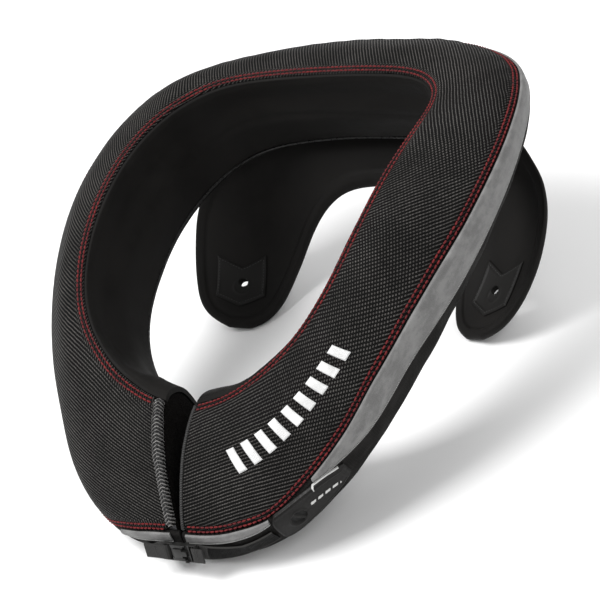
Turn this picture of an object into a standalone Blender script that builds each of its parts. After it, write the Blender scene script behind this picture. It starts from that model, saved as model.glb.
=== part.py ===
"""Youth motocross neck brace: a padded collar, open at the throat, with a rear yoke.

The collar is drawn in its own frame, in millimetres: +X is the wearer's left, -Y the chest,
+Z up, and the inner seam is level at throat and nape. It is then tipped forward onto the tips
of the yoke and its front lower edge, as it stands by itself, and is scaled to metres, with its
origin at the bottom centre of its box.
"""
import math
from collections import namedtuple

import bmesh
import bpy
import numpy as np
from mathutils import Matrix, Vector
from mathutils.bvhtree import BVHTree

MM = 0.001
REST_TILT = math.radians(20.75)

COVER = 2.0
GAP = 0.3
CORE_GAP = 0.75
SEAM = 0.02
END_PANEL = 2.0
BINDING_RADIUS = 2.2
PIPING_RADIUS = 0.9
STRIP_THICKNESS = 0.8
WEBBING = 0.9
WEBBING_WIDTH = 6.2
TAB_THICKNESS = 1.8

SHEET = 3.5
RIM_HEIGHT = 0.65
RIM_WIDTH = 4.2
RIM_STEP = 0.8
RIM_ROUND = 0.7
PATCH = 0.9
EYELET_RADIUS = 2.3
EYELET_SIDES = 16
EYELET_CUT = (-120.0, -70.0)

# One row for each section of the collar, from its end at the throat on the wearer's left round
# to the nape; the other half is their mirror image. Inner and outer are the two stitched seams
# of the top face. The wall is the height of the inner wall, which swells by bulge and leans in
# by lean. Roll is how high up it swells, from 1 at mid height to 0 just under the seam. The
# side is the outer wall, which flares out.
Station = namedtuple(
    "Station", "inner_x inner_y inner_z outer_x outer_y outer_z wall bulge lean roll side flare")
STATIONS = [
    Station(5.2, -85.4, -8.0, 5.2, -129.0, -29.0, 47, 15, 8, 0.1, 21, 3.2),
    Station(21.0, -82.8, -3.8, 29.0, -126.5, -28.2, 47, 14, 8, 0.2, 21, 3.0),
    Station(36.0, -76.3, 0.6, 49.5, -116.0, -25.5, 48, 11, 9, 0.5, 20, 2.0),
    Station(54.6, -59.5, 7.0, 72.4, -88.0, -18.3, 49, 9, 8, 0.9, 21, 1.4),
    Station(65.7, -37.0, 12.2, 88.6, -55.4, -10.4, 49, 8, 7, 1.0, 21, 1.4),
    Station(71.2, -10.0, 14.5, 100.4, -18.8, -5.4, 50, 8, 7, 1.0, 20, 1.4),
    Station(73.6, 18.0, 12.0, 106.4, 18.8, -5.1, 50, 8, 7, 1.0, 18, 1.2),
    Station(74.0, 44.6, 4.8, 104.6, 55.0, -10.0, 50, 8, 7, 1.0, 16, 0.6),
    Station(69.4, 65.4, -2.8, 94.0, 85.2, -17.0, 49, 8, 7, 1.0, 14, 0.4),
    Station(56.0, 78.7, -6.8, 70.4, 104.0, -24.2, 48, 8, 7, 1.0, 14, 0.8),
    Station(31.0, 84.4, -8.0, 37.3, 116.0, -30.2, 47, 8, 7, 1.0, 15, 1.0),
    Station(0.0, 85.4, -8.0, 0.0, 119.5, -32.0, 46, 8, 7, 1.0, 16, 1.0),
]
# The wearer's right half ends on a slant: its outer corner crosses the middle, and almost
# meets the left half, while its inner corner stands back from it.
RIGHT_FRONT = [
    Station(-36.0, -76.3, 0.6, -49.5, -116.0, -25.5, 48, 11, 9, 0.5, 22, 3.2),
    Station(-24.0, -81.9, -2.9, -22.0, -127.6, -28.5, 47, 14, 8, 0.2, 22, 4.2),
    Station(-15.0, -84.4, -5.6, -3.0, -129.1, -29.0, 47, 15, 8, 0.1, 21, 3.2),
    Station(-9.1, -85.3, -7.2, 3.8, -129.0, -29.0, 47, 15, 8, 0.1, 21, 3.2),
]

# Knots of the section's outline, counted round it from the inner seam, over the top face.
OUTER_SEAM = 3.0
WALL_FOOT = 8.0
SECTION_KNOTS = 11.0
KNOT_SPACING = 0.5
COLLAR_ROWS = 46
BEND_WEIGHT = 60.0
BINDING_KNOTS = (0.1, 2.85)
PIPING_KNOTS = (0.1, 2.95)
EDGE_ROWS = 16
TOP_CROWN = 4.6
SEAM_LIP = 3.4
FOOT_INSET = 7.0

# Reflective strips of the outer wall: place round the collar (0 throat, 1 nape), and the top
# and bottom edges as knots of the section.
Band = namedtuple("Band", "place top bottom")
FRONT_STRIP_LEFT = [
    Band(0.006, 3.13, 3.32), Band(0.045, 3.12, 3.31), Band(0.090, 3.12, 3.29),
    Band(0.112, 3.13, 3.20)]
FRONT_STRIP_RIGHT = [
    Band(0.014, 3.12, 3.35), Band(0.035, 3.12, 3.34), Band(0.060, 3.12, 3.30),
    Band(0.082, 3.13, 3.19)]
SIDE_STRIP = [
    Band(0.176, 3.10, 3.17), Band(0.205, 3.05, 3.40), Band(0.255, 3.04, 3.78),
    Band(0.330, 3.04, 3.72), Band(0.400, 3.04, 3.98), Band(0.500, 3.04, 4.20),
    Band(0.660, 3.04, 4.15), Band(0.800, 3.05, 3.90), Band(0.930, 3.10, 3.22)]
TAB = [
    Band(0.114, 3.50, 3.95), Band(0.117, 3.22, 4.28), Band(0.123, 3.08, 4.50),
    Band(0.140, 3.08, 4.58), Band(0.172, 3.18, 4.50), Band(0.200, 3.46, 4.42),
    Band(0.212, 3.68, 4.34)]

# Edges of one half of the yoke seen from above, from the tip of its tongue to the nape.
YokeRow = namedtuple("YokeRow", "inner_x inner_y outer_x outer_y")
YOKE_ROWS = [
    YokeRow(59.5, 3.4, 69.5, 1.8),
    YokeRow(54.0, 7.6, 78.5, 4.8),
    YokeRow(49.8, 14.2, 85.3, 11.0),
    YokeRow(47.2, 22.5, 90.0, 20.5),
    YokeRow(45.2, 32.0, 93.2, 31.0),
    YokeRow(42.4, 42.0, 95.0, 42.0),
    YokeRow(38.8, 52.0, 94.8, 53.0),
    YokeRow(33.0, 60.5, 91.3, 63.5),
    YokeRow(24.0, 66.8, 84.0, 73.5),
    YokeRow(14.0, 69.5, 66.0, 89.5),
    YokeRow(6.5, 70.2, 36.0, 102.5),
    YokeRow(0.0, 70.4, 0.0, 107.0),
]
# Height of the yoke's upper face along the middle, from its tips to where it meets the base.
Drop = namedtuple("Drop", "y z")
YOKE_DROPS = [
    Drop(-5, -96.6), Drop(10, -98.0), Drop(22, -98.2), Drop(40, -93.8), Drop(60, -83.3),
    Drop(70, -75.8), Drop(80, -67.0), Drop(90, -60.0), Drop(100, -57.0), Drop(110, -56.0)]
YOKE_CURL_START = 45.0
YOKE_CURL_REACH = 50.0
YOKE_CURL = 19.0
YOKE_JOIN = (86.0, 98.0)
YOKE_SEAM = 0.7
YOKE_SWAY = 1.8
YOKE_SWAY_START = 70.0
YOKE_SWAY_REACH = 45.0

# Sewn chevron patch of each tongue, about its eyelet: u runs across, v toward the tip.
PATCH_CENTRE = (69.2, 22.9)
PATCH_TURN = math.radians(13)
PATCH_HALF_WIDTH = 11.5
PATCH_BACK = -15.0
PATCH_FRONT = 5.0
PATCH_POINT = 5.2

# The buckle's middle. It hangs with its face tipped back and its left end a little high.
BUCKLE_CENTRE = (6.4, -135.9, -33.2)
BUCKLE_LEAN = math.radians(-35)
BUCKLE_DIP = math.radians(-3.0)
BUCKLE_HEIGHT = 7.6
BODY_LENGTH = 6.8
BODY_DEPTH = 3.4
FRAME_LENGTH = 5.0
FRAME_DEPTH = 1.6
BAR = 1.3
NOTCH_LENGTH = 5.2
NOTCH_HEIGHT = 1.9
PRONG_DEPTH = 2.4
STRAP_STANDOFF = 0.6
STRAP_KNOT = 3.9
# Each strap: how far its free layer reaches past the bar, and where it lies on the wall.
Strap = namedtuple("Strap", "name fold wall_start wall_end")
STRAP_LEFT = Strap("strap_left", 3.0, 0.072, 0.110)
STRAP_RIGHT = Strap("strap_right", 9.0, 0.044, 0.054)


def clear_scene():
    for item in list(bpy.data.objects):
        bpy.data.objects.remove(item, do_unlink=True)


def material(name, colour, roughness):
    made = bpy.data.materials.new(name)
    made.use_nodes = True
    shader = made.node_tree.nodes["Principled BSDF"]
    shader.inputs["Base Color"].default_value = (*colour, 1.0)
    shader.inputs["Roughness"].default_value = roughness
    return made


def smooth_spline(places, values):
    """A natural cubic spline through the rows of values at the given places."""
    x = np.asarray(places, float)
    y = np.asarray(values, float)
    count = len(x)
    step = np.diff(x)
    system = np.eye(count)
    right = np.zeros_like(y)
    for i in range(1, count - 1):
        system[i, i - 1:i + 2] = step[i - 1], 2 * (step[i - 1] + step[i]), step[i]
        right[i] = 6 * ((y[i + 1] - y[i]) / step[i] - (y[i] - y[i - 1]) / step[i - 1])
    bend = np.linalg.solve(system, right)

    def at(place):
        i = int(np.clip(np.searchsorted(x, place) - 1, 0, count - 2))
        h = step[i]
        a = (x[i + 1] - place) / h
        b = (place - x[i]) / h
        curve = ((a ** 3 - a) * bend[i] + (b ** 3 - b) * bend[i + 1]) * h * h / 6
        return a * y[i] + b * y[i + 1] + curve

    return at


def chord_lengths(points):
    """Distances along a row of points, from its first."""
    steps = np.linalg.norm(np.diff(np.asarray(points, float), axis=0), axis=1)
    return np.concatenate([[0.0], np.cumsum(steps)])


def mirrored(row, flipped):
    return [-v if i in flipped else v for i, v in enumerate(row)]


def mirrored_spline(rows, flipped):
    """A spline through the rows and their mirror image; flipped names the columns that turn."""
    lengths = chord_lengths([row[:2] for row in rows])
    places = lengths / lengths[-1]
    other = [mirrored(row, flipped) for row in rows[-2::-1]]
    return smooth_spline(np.concatenate([places, 2 - places[-2::-1]]), list(rows) + other)


def middle_of(row):
    return np.add(row[0:3], row[3:6]) / 2


def collar_spline():
    """The collar's sections by place, with the half length and the place of the right end."""
    lengths = chord_lengths([middle_of(row) for row in STATIONS])
    half = lengths[-1]
    right = [mirrored(row, {0, 3}) for row in STATIONS[-2:2:-1]]
    front = chord_lengths([middle_of(row) for row in [right[-1]] + RIGHT_FRONT])[1:]
    right_lengths = 2 * half - lengths[-2:2:-1]
    places = np.concatenate([lengths, right_lengths, right_lengths[-1] + front]) / half
    return smooth_spline(places, STATIONS + right + RIGHT_FRONT), half, places[-1]


def band_edges(bands):
    """The top and bottom knot of a band anywhere between its ends."""
    return smooth_spline([b.place for b in bands], [(b.top, b.bottom) for b in bands])


def collar_rows(count):
    """Places for the sections of every shell, closer together where the collar bends."""
    fine = np.linspace(0, RIGHT_END, 12 * count)
    ahead = np.diff([section_at(p)[3:5] for p in fine], axis=0)
    turn = np.abs(np.diff(np.unwrap(np.arctan2(ahead[:, 1], ahead[:, 0])), append=0))
    turn[-1] = 0
    weight = np.linalg.norm(ahead, axis=1) + BEND_WEIGHT * turn
    total = np.concatenate([[0.0], np.cumsum(weight)])
    return np.interp(np.linspace(0, total[-1], count + 1), total, fine)


section_at, HALF_LENGTH, RIGHT_END = collar_spline()
ROWS = collar_rows(COLLAR_ROWS)


def section_knots(row):
    """The outline's knots as (outward, up) from the inner seam, in order round the section."""
    width = math.hypot(row.outer_x - row.inner_x, row.outer_y - row.inner_y)
    drop = row.inner_z - row.outer_z
    foot = -drop - row.side
    upper = 0.16 + 0.12 * row.roll
    lower = 0.42 + 0.12 * row.roll
    return np.array([
        (-SEAM_LIP, -0.5),
        (0.34 * width, -0.34 * drop + 0.92 * TOP_CROWN),
        (0.70 * width, -0.70 * drop + 0.86 * TOP_CROWN),
        (width, -drop),
        (width + row.flare, -drop - 0.5 * row.side),
        (width - 1.2, foot + 1.0),
        (width - FOOT_INSET, foot - 1.0),
        (0.30 * width - row.lean, -row.wall - 1.0),
        (-row.lean + 1.5, -row.wall + 1.5),
        (-row.bulge, -lower * row.wall),
        (-row.bulge * (0.95 - 0.35 * row.roll), -upper * row.wall),
    ])


class Section:
    """The collar cut at one place: 0 at the throat on the wearer's left, 2 on the right."""

    def __init__(self, place):
        row = Station(*section_at(place))
        self.knots = section_knots(row)
        self.seam = np.array([row.inner_x, row.inner_y, row.inner_z])
        across = np.array([row.outer_x - row.inner_x, row.outer_y - row.inner_y])
        self.outward = across / np.linalg.norm(across)

    def flat(self, knot):
        """A point of the outline, on a closed Catmull-Rom curve through the knots."""
        count = len(self.knots)
        i = int(math.floor(knot))
        f = knot - i
        a, b, c, d = (self.knots[(i + n) % count] for n in (-1, 0, 1, 2))
        return 0.5 * (2 * b + (c - a) * f + (2 * a - 5 * b + 4 * c - d) * f ** 2
                      + (3 * b - a - 3 * c + d) * f ** 3)

    def point(self, knot, out=0.0):
        """The outline's point in the collar's frame, moved out along the surface's normal."""
        along = self.flat(knot + 0.02) - self.flat(knot - 0.02)
        along = along / np.linalg.norm(along)
        spot = self.flat(knot) + out * np.array([-along[1], along[0]])
        x, y = self.seam[:2] + self.outward * spot[0]
        return np.array([x, y, self.seam[2] + spot[1]])


def add_object(name, points, faces, look, smooth=True):
    mesh = bpy.data.meshes.new(name)
    mesh.from_pydata([tuple(p) for p in points], [], faces)
    made = bmesh.new()
    made.from_mesh(mesh)
    bmesh.ops.recalc_face_normals(made, faces=made.faces)
    made.to_mesh(mesh)
    made.free()
    mesh.materials.append(look)
    item = bpy.data.objects.new(name, mesh)
    bpy.context.collection.objects.link(item)
    if smooth:
        mesh.shade_smooth()
        mesh.set_sharp_from_angle(angle=math.radians(50))
    return item


def loft(rings, caps=True, turned=()):
    """Triangles that join closed rings of equal length; turned names columns that split the
    other way, so that the two faces of a sheet fold alike."""
    size = len(rings[0])
    points = [p for ring in rings for p in ring]
    faces = []
    for i in range(len(rings) - 1):
        for j in range(size):
            k = (j + 1) % size
            a, b, c, d = i * size + j, i * size + k, (i + 1) * size + k, (i + 1) * size + j
            faces += [(a, b, d), (b, c, d)] if j in turned else [(a, b, c), (a, c, d)]
    if caps:
        faces.append(tuple(range(size))[::-1])
        faces.append(tuple(range((len(rings) - 1) * size, len(rings) * size)))
    return points, faces


def rows_between(first, last):
    """The two ends and the collar's rows that lie well between them."""
    clear = 0.25 * (ROWS[1] - ROWS[0])
    return [first] + [p for p in ROWS if first + clear < p < last - clear] + [last]


def panel(name, places, ends, look):
    """One cover of the padding, between two knots of the outline."""
    low = math.ceil(ends[0] / KNOT_SPACING + 0.4)
    high = math.floor(ends[1] / KNOT_SPACING - 0.4)
    knots = [ends[0]] + [KNOT_SPACING * i for i in range(low, high + 1)] + [ends[1]]
    return sheet(name, places, lambda p: knots, -COVER, COVER, look)


def band(name, places, edges, out, thickness, look, spans):
    """A sheet of changing width, with the same number of spans all along."""
    return sheet(name, places, lambda p: np.linspace(*edges(p), spans + 1), out, thickness, look)


def sheet(name, places, knots_at, out, thickness, look):
    rings = []
    for place in places:
        section = Section(place)
        knots = knots_at(place)
        outer = [section.point(k, out + thickness) for k in knots]
        inner = [section.point(k, out) for k in reversed(knots)]
        rings.append(outer + inner)
    return add_object(name, *strip_caps(rings, len(rings[0]) // 2 - 1), look)


def strip_caps(rings, spans):
    """A loft of sheet sections whose two ends are closed by quads across the thickness."""
    points, faces = loft(rings, caps=False, turned=range(spans + 1, 2 * spans + 1))
    size = len(rings[0])
    last = (len(rings) - 1) * size
    for j in range(spans):
        a, b, c, d = j, j + 1, size - 2 - j, size - 1 - j
        faces.append((a, b, c, d))
        faces.append((last + d, last + c, last + b, last + a))
    return points, faces


def ring_solid(name, places, out, look):
    """The whole section, moved in from its outline, lofted through the places."""
    knots = np.arange(0, SECTION_KNOTS, KNOT_SPACING)
    rings = [[Section(place).point(k, out) for k in knots] for place in places]
    return add_object(name, *loft(rings), look)


def tube(name, centres, radius, sides, look):
    """A round tube along a row of points."""
    rings = []
    for i, centre in enumerate(centres):
        ahead = Vector(centres[min(i + 1, len(centres) - 1)]) - Vector(centres[max(i - 1, 0)])
        ahead.normalize()
        side = ahead.cross(Vector((1, 0, 0))).normalized()
        other = Vector((1, 0, 0))
        other = (other - ahead * other.dot(ahead)).normalized()
        ring = []
        for j in range(sides):
            angle = 2 * math.pi * j / sides
            spoke = side * math.cos(angle) + other * math.sin(angle)
            ring.append(Vector(centre) + radius * spoke)
        rings.append(ring)
    return add_object(name, *loft(rings), look)


def step(distance):
    """A distance along the collar as a share of its half length."""
    return distance / HALF_LENGTH


def build_collar(looks):
    """The padding and its covers, with the strips, the end panels and their edges."""
    core = (step(END_PANEL + GAP), RIGHT_END - step(END_PANEL + GAP))
    cover = (step(2 * PIPING_RADIUS + GAP), RIGHT_END - step(2 * BINDING_RADIUS + 3 * GAP))
    inner_out = -COVER - CORE_GAP

    ring_solid("padding", rows_between(*core), inner_out, looks["foam"])
    panel("top_cover", rows_between(*cover), (SEAM, OUTER_SEAM - SEAM), looks["nylon"])
    places = rows_between(0, RIGHT_END)
    panel("inner_wall", places, (WALL_FOOT + SEAM, SECTION_KNOTS - SEAM), looks["neoprene"])
    base = panel("base_cover", places, (OUTER_SEAM + SEAM, WALL_FOOT - SEAM), looks["base"])

    for side, turn in (("left", lambda p: p), ("right", lambda p: RIGHT_END - p)):
        ends = [turn(step(END_PANEL * i / 2)) for i in range(3)]
        ring_solid("end_panel_" + side, ends, inner_out, looks["fleece"])
        bands = FRONT_STRIP_LEFT if side == "left" else FRONT_STRIP_RIGHT
        build_strip("front_strip_" + side, bands, turn, looks)
    for side, turn in (("left", lambda p: p), ("right", lambda p: 2 - p)):
        build_strip("side_strip_" + side, SIDE_STRIP, turn, looks)

    binding = Section(RIGHT_END - step(BINDING_RADIUS))
    middle = [binding.point(k, BINDING_RADIUS - COVER) for k in np.linspace(*BINDING_KNOTS, EDGE_ROWS)]
    tube("end_binding", middle, BINDING_RADIUS, 10, looks["binding"])
    piping = Section(step(PIPING_RADIUS))
    middle = [piping.point(k, GAP - PIPING_RADIUS) for k in np.linspace(*PIPING_KNOTS, EDGE_ROWS)]
    tube("end_piping", middle, PIPING_RADIUS, 8, looks["base"])
    return base


def build_strip(name, bands, turn, looks):
    """A reflective strip; turn gives the place in its table for a place on the collar."""
    edges = band_edges(bands)
    first, last = sorted(turn(b.place) for b in (bands[0], bands[-1]))
    band(name, rows_between(first, last), lambda p: edges(turn(p)), GAP, STRIP_THICKNESS,
         looks["reflective"], 4)


def yoke_outline(rows, columns):
    """The yoke's outline as a closed loop, and the counts that pair its opposite points."""
    edge = mirrored_spline(YOKE_ROWS, flipped={0, 2})
    sides = [edge(p) for p in np.linspace(0, 2, rows + 1)]
    outer = [np.array(s[2:4]) for s in sides]
    inner = [np.array(s[0:2]) for s in sides]
    steps = np.linspace(0, 1, columns + 1)[1:-1]
    far_tip = [outer[-1] + (inner[-1] - outer[-1]) * f for f in steps]
    near_tip = [inner[0] + (outer[0] - inner[0]) * f for f in steps]
    return outer + far_tip + inner[::-1] + near_tip


def inset_loop(loop, distance):
    """A closed loop of plan points moved inward."""
    moved = []
    count = len(loop)
    for i, spot in enumerate(loop):
        ahead = loop[(i + 1) % count] - loop[i - 1]
        ahead = ahead / np.linalg.norm(ahead)
        moved.append(spot + distance * np.array([-ahead[1], ahead[0]]))
    return moved


class YokeSurface:
    """The height of the yoke's middle surface, which is sewn to the collar's base at the back."""

    def __init__(self, base):
        self.profile = smooth_spline([d.y for d in YOKE_DROPS], [d.z for d in YOKE_DROPS])
        mesh = bmesh.new()
        mesh.from_mesh(base.data)
        self.base = BVHTree.FromBMesh(mesh)
        mesh.free()

    def top(self, x, y):
        curl = max(0.0, (abs(x) - YOKE_CURL_START) / YOKE_CURL_REACH) ** 2 * YOKE_CURL
        free = float(self.profile(y)) + curl
        joined = min(1.0, max(0.0, (y - YOKE_JOIN[0]) / (YOKE_JOIN[1] - YOKE_JOIN[0])))
        joined = joined * joined * (3 - 2 * joined)
        hit = self.base.ray_cast(Vector((x, y, -200.0)), Vector((0, 0, 1)))[0]
        if hit is None:
            return free
        seat = hit.z - YOKE_SEAM - RIM_HEIGHT
        return min(free + (seat - free) * joined, seat)

    def middle(self, x, y):
        return self.top(x, y) - SHEET / 2


def sway(spot):
    """A plan point moved a little to the wearer's right, by more toward the tongues' tips."""
    share = min(1.0, max(0.0, (YOKE_SWAY_START - spot[1]) / YOKE_SWAY_REACH))
    return np.array([spot[0] - YOKE_SWAY * share, spot[1]])


def build_yoke(surface, looks):
    """The rear sheet with its pressed rim and two tongues."""
    rows, columns = 40, 4
    loop = yoke_outline(rows, columns)
    turned = sum(a[0] * b[1] - b[0] * a[1] for a, b in zip(loop, loop[1:] + loop[:1]))
    inward = 1.0 if turned > 0 else -1.0
    face = SHEET / 2
    rim = face + RIM_HEIGHT
    rounded = (RIM_ROUND, rim - RIM_ROUND / 2)
    profile = [(0.0, 0.0), rounded, (RIM_WIDTH, rim), (RIM_WIDTH + RIM_STEP, face)]
    points = []
    faces = []
    count = len(loop)

    def add_loop(distance, height):
        start = len(points)
        for x, y in inset_loop(loop, inward * distance):
            points.append((x, y, surface.middle(x, y) + height))
        return start

    def join(a, b):
        for i in range(count):
            j = (i + 1) % count
            faces.append((a + i, a + j, b + j, b + i))

    edge = add_loop(*profile[0])
    for sign in (1.0, -1.0):
        last = edge
        for distance, height in profile[1:]:
            new = add_loop(distance, sign * height)
            join(last, new)
            last = new
        grid = [[None] * (columns + 1) for _ in range(rows + 1)]
        for i in range(rows + 1):
            grid[i][0] = last + i
            grid[i][columns] = last + (rows + columns - 1) + (rows + 1 - i)
        for c in range(1, columns):
            grid[rows][c] = last + rows + c
            grid[0][c] = last + count - c
        for i in range(1, rows):
            a = np.array(points[grid[i][0]][:2])
            b = np.array(points[grid[i][columns]][:2])
            for c in range(1, columns):
                x, y = a + (b - a) * c / columns
                grid[i][c] = len(points)
                points.append((x, y, surface.middle(x, y) + sign * face))
        for i in range(rows):
            for c in range(columns):
                faces.append((grid[i][c], grid[i][c + 1], grid[i + 1][c + 1], grid[i + 1][c]))
    points = [(*sway(spot), spot[2]) for spot in points]
    return add_object("yoke", points, faces, looks["neoprene"])


def patch_point(u, v):
    """A plan point of the left tongue's patch from its own coordinates."""
    toward = np.array([-math.sin(PATCH_TURN), -math.cos(PATCH_TURN)])
    across = np.array([math.cos(PATCH_TURN), -math.sin(PATCH_TURN)])
    return np.array(PATCH_CENTRE) + across * u + toward * v


def build_patches(surface, looks):
    """A chevron of thin rubber on each tongue, round its eyelet."""
    columns, rows = 6, 4
    for side, sign in (("left", 1.0), ("right", -1.0)):
        layers = []
        for height in (GAP, GAP + PATCH):
            for i in range(rows + 1):
                for j in range(columns + 1):
                    share = 2 * j / columns - 1
                    point = PATCH_POINT * (1 - abs(share))
                    v = PATCH_BACK + point + (PATCH_FRONT - PATCH_BACK) * i / rows
                    x, y = patch_point(PATCH_HALF_WIDTH * share, v)
                    z = surface.top(x, y) + height
                    layers.append((*sway((sign * x, y)), z))
        size = (rows + 1) * (columns + 1)
        faces = []
        for base, flip in ((0, True), (size, False)):
            for i in range(rows):
                for j in range(columns):
                    a = base + i * (columns + 1) + j
                    faces.append((a, a + 1, a + columns + 2, a + columns + 1))
        rim = list(range(columns + 1))
        rim += [i * (columns + 1) + columns for i in range(1, rows + 1)]
        rim += [rows * (columns + 1) + j for j in range(columns - 1, -1, -1)]
        rim += [i * (columns + 1) for i in range(rows - 1, 0, -1)]
        for a, b in zip(rim, rim[1:] + rim[:1]):
            faces.append((a, b, b + size, a + size))
        add_object("patch_" + side, layers, faces, looks["patch"])


def punch_eyelets():
    """A round hole through each patch and the tongue under it."""
    for side, sign in (("left", 1.0), ("right", -1.0)):
        x, y = sway((sign * PATCH_CENTRE[0], PATCH_CENTRE[1]))
        angles = [2 * math.pi * i / EYELET_SIDES for i in range(EYELET_SIDES)]
        circle = [(x + EYELET_RADIUS * math.cos(a), y + EYELET_RADIUS * math.sin(a)) for a in angles]
        rings = [[(*spot, z) for spot in circle] for z in EYELET_CUT]
        cutter = add_object("eyelet_cutter_" + side, *loft(rings), bpy.data.materials[0])
        cutter.hide_render = True
        cutter.display_type = "WIRE"
        for name in ("yoke", "patch_" + side):
            cut = bpy.data.objects[name].modifiers.new("eyelet_" + side, "BOOLEAN")
            cut.object = cutter
            cut.solver = "EXACT"


def block(size, centre, bevel):
    """A bevelled box as a bmesh."""
    made = bmesh.new()
    bmesh.ops.create_cube(made, size=1.0)
    bmesh.ops.transform(made, matrix=Matrix.Diagonal((*size, 1.0)), verts=made.verts)
    if bevel:
        bmesh.ops.bevel(made, geom=made.edges[:], offset=bevel, segments=1, affect="EDGES")
    bmesh.ops.translate(made, vec=Vector(centre), verts=made.verts)
    return made


def mesh_object(name, made, look):
    mesh = bpy.data.meshes.new(name)
    made.to_mesh(mesh)
    made.free()
    mesh.materials.append(look)
    item = bpy.data.objects.new(name, mesh)
    bpy.context.collection.objects.link(item)
    return item


def combine(item, made, operation, look):
    """Unite or cut an object with a bmesh, at once."""
    other = mesh_object("tool", made, look)
    change = item.modifiers.new("change", "BOOLEAN")
    change.object = other
    change.operation = operation
    change.solver = "EXACT"
    bpy.context.view_layer.update()
    graph = bpy.context.evaluated_depsgraph_get()
    result = bpy.data.meshes.new_from_object(item.evaluated_get(graph))
    item.modifiers.clear()
    item.data = result
    bpy.data.objects.remove(other, do_unlink=True)


def build_buckle(looks):
    """A small side-release buckle, fastened, drawn about its own middle and then placed."""
    hard = looks["plastic"]
    half = BODY_LENGTH / 2
    slot = FRAME_LENGTH - 2 * BAR
    slot_height = WEBBING_WIDTH + 2 * GAP
    deep = 3 * BODY_DEPTH
    notch_floor = BUCKLE_HEIGHT / 2 - NOTCH_HEIGHT
    prong_height = NOTCH_HEIGHT - 2 * GAP
    prong_length = NOTCH_LENGTH - GAP + 1.5

    socket = mesh_object(
        "buckle_socket", block((BODY_LENGTH, BODY_DEPTH, BUCKLE_HEIGHT), (0, 0, 0), 0.8), hard)
    frame_middle = half + FRAME_LENGTH / 2
    combine(socket, block((FRAME_LENGTH + 1, FRAME_DEPTH, BUCKLE_HEIGHT),
                          (frame_middle - 0.5, 0, 0), 0.5), "UNION", hard)
    combine(socket, block((slot, deep, slot_height), (frame_middle, 0, 0), 0), "DIFFERENCE", hard)

    plug_middle = -half - GAP - FRAME_LENGTH / 2
    plug = mesh_object("buckle_plug", block(
        (FRAME_LENGTH, FRAME_DEPTH, BUCKLE_HEIGHT), (plug_middle, 0, 0), 0.4), hard)
    combine(plug, block((slot, deep, slot_height), (plug_middle, 0, 0), 0), "DIFFERENCE", hard)
    for sign in (1.0, -1.0):
        notch = (-half - 1 + NOTCH_LENGTH / 2, 0, sign * (notch_floor + NOTCH_HEIGHT / 2 + 1))
        prong = (-half - 1.5 + prong_length / 2, 0, sign * (notch_floor + GAP + prong_height / 2))
        combine(socket, block((NOTCH_LENGTH + 2, deep, NOTCH_HEIGHT + 2), notch, 0),
                "DIFFERENCE", hard)
        combine(plug, block((prong_length, PRONG_DEPTH, prong_height), prong, 0.3),
                "UNION", hard)
    seat = (Matrix.Translation(BUCKLE_CENTRE) @ Matrix.Rotation(BUCKLE_DIP, 4, "Y")
            @ Matrix.Rotation(BUCKLE_LEAN, 4, "X"))
    for item in (socket, plug):
        item.data.transform(seat)

    build_strap(STRAP_LEFT, seat, half + FRAME_LENGTH - BAR, 1.0, looks)
    build_strap(STRAP_RIGHT, seat, plug_middle - FRAME_LENGTH / 2 + BAR, -1.0, looks)


def build_strap(strap, seat, bar_edge, sign, looks):
    """Webbing from the collar's side to a buckle's bar, round it and back over itself."""
    layer = FRAME_DEPTH / 2 + GAP + WEBBING / 2
    beyond = sign * (BAR + GAP + WEBBING / 2)
    fold = bar_edge - sign * (GAP + WEBBING / 2)
    free = bar_edge + beyond + sign * strap.fold
    local = [(free, -layer), (bar_edge + beyond, -layer), (bar_edge, -layer)]
    for i in range(1, 6):
        angle = math.pi * i / 6
        local.append((bar_edge + (fold - bar_edge) * math.sin(angle), -layer * math.cos(angle)))
    local += [(bar_edge, layer), (bar_edge + beyond, layer)]
    up = Vector(seat.col[2][:3])
    path = [(seat @ Vector((x, y, 0)), up) for x, y in local]
    for place in np.linspace(strap.wall_start, strap.wall_end, 5):
        section = Section(place if sign > 0 else RIGHT_END - place)
        spot = Vector(section.point(STRAP_KNOT, STRAP_STANDOFF + WEBBING / 2))
        above = section.point(STRAP_KNOT - 0.3) - section.point(STRAP_KNOT + 0.3)
        path.append((spot, Vector(above).normalized()))
    ribbon(strap.name, path, WEBBING_WIDTH, WEBBING, looks["webbing"])


def ribbon(name, path, width, thickness, look):
    """A flat band along a path of spots, each with the direction of the band's upper edge."""
    rings = []
    for i, (spot, up) in enumerate(path):
        ahead = path[min(i + 1, len(path) - 1)][0] - path[max(i - 1, 0)][0]
        side = up.cross(ahead).normalized() * (thickness / 2)
        rise = ahead.cross(side).normalized() * (width / 2)
        if rise.dot(up) < 0:
            rise = -rise
        low, high = spot - rise, spot + rise
        rings.append([low - side, low + side, high + side, high - side])
    return add_object(name, *loft(rings), look)


def build_tab(looks):
    """The rubber tab that ties the strap to the wearer's left side."""
    edges = band_edges(TAB)
    places = [TAB[0].place] + list(np.linspace(TAB[1].place, TAB[-2].place, 12)) + [TAB[-1].place]
    band("strap_tab", places, edges, GAP, TAB_THICKNESS, looks["tab"], 5)


def place_on_floor():
    """Tip every object forward to its rest, and put the origin at the box's bottom centre."""
    bpy.context.view_layer.update()
    tip = Matrix.Rotation(REST_TILT, 4, "X")
    items = [o for o in bpy.data.objects if o.type == "MESH"]
    spots = [tip @ v.co for o in items if not o.hide_render for v in o.data.vertices]
    low = Vector([min(s[i] for s in spots) for i in range(3)])
    high = Vector([max(s[i] for s in spots) for i in range(3)])
    middle = (low + high) / 2
    shift = Matrix.Translation((-middle.x, -middle.y, -low.z))
    whole = Matrix.Scale(MM, 4) @ shift @ tip
    for item in items:
        item.data.transform(whole)
        item.data.update()


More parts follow.
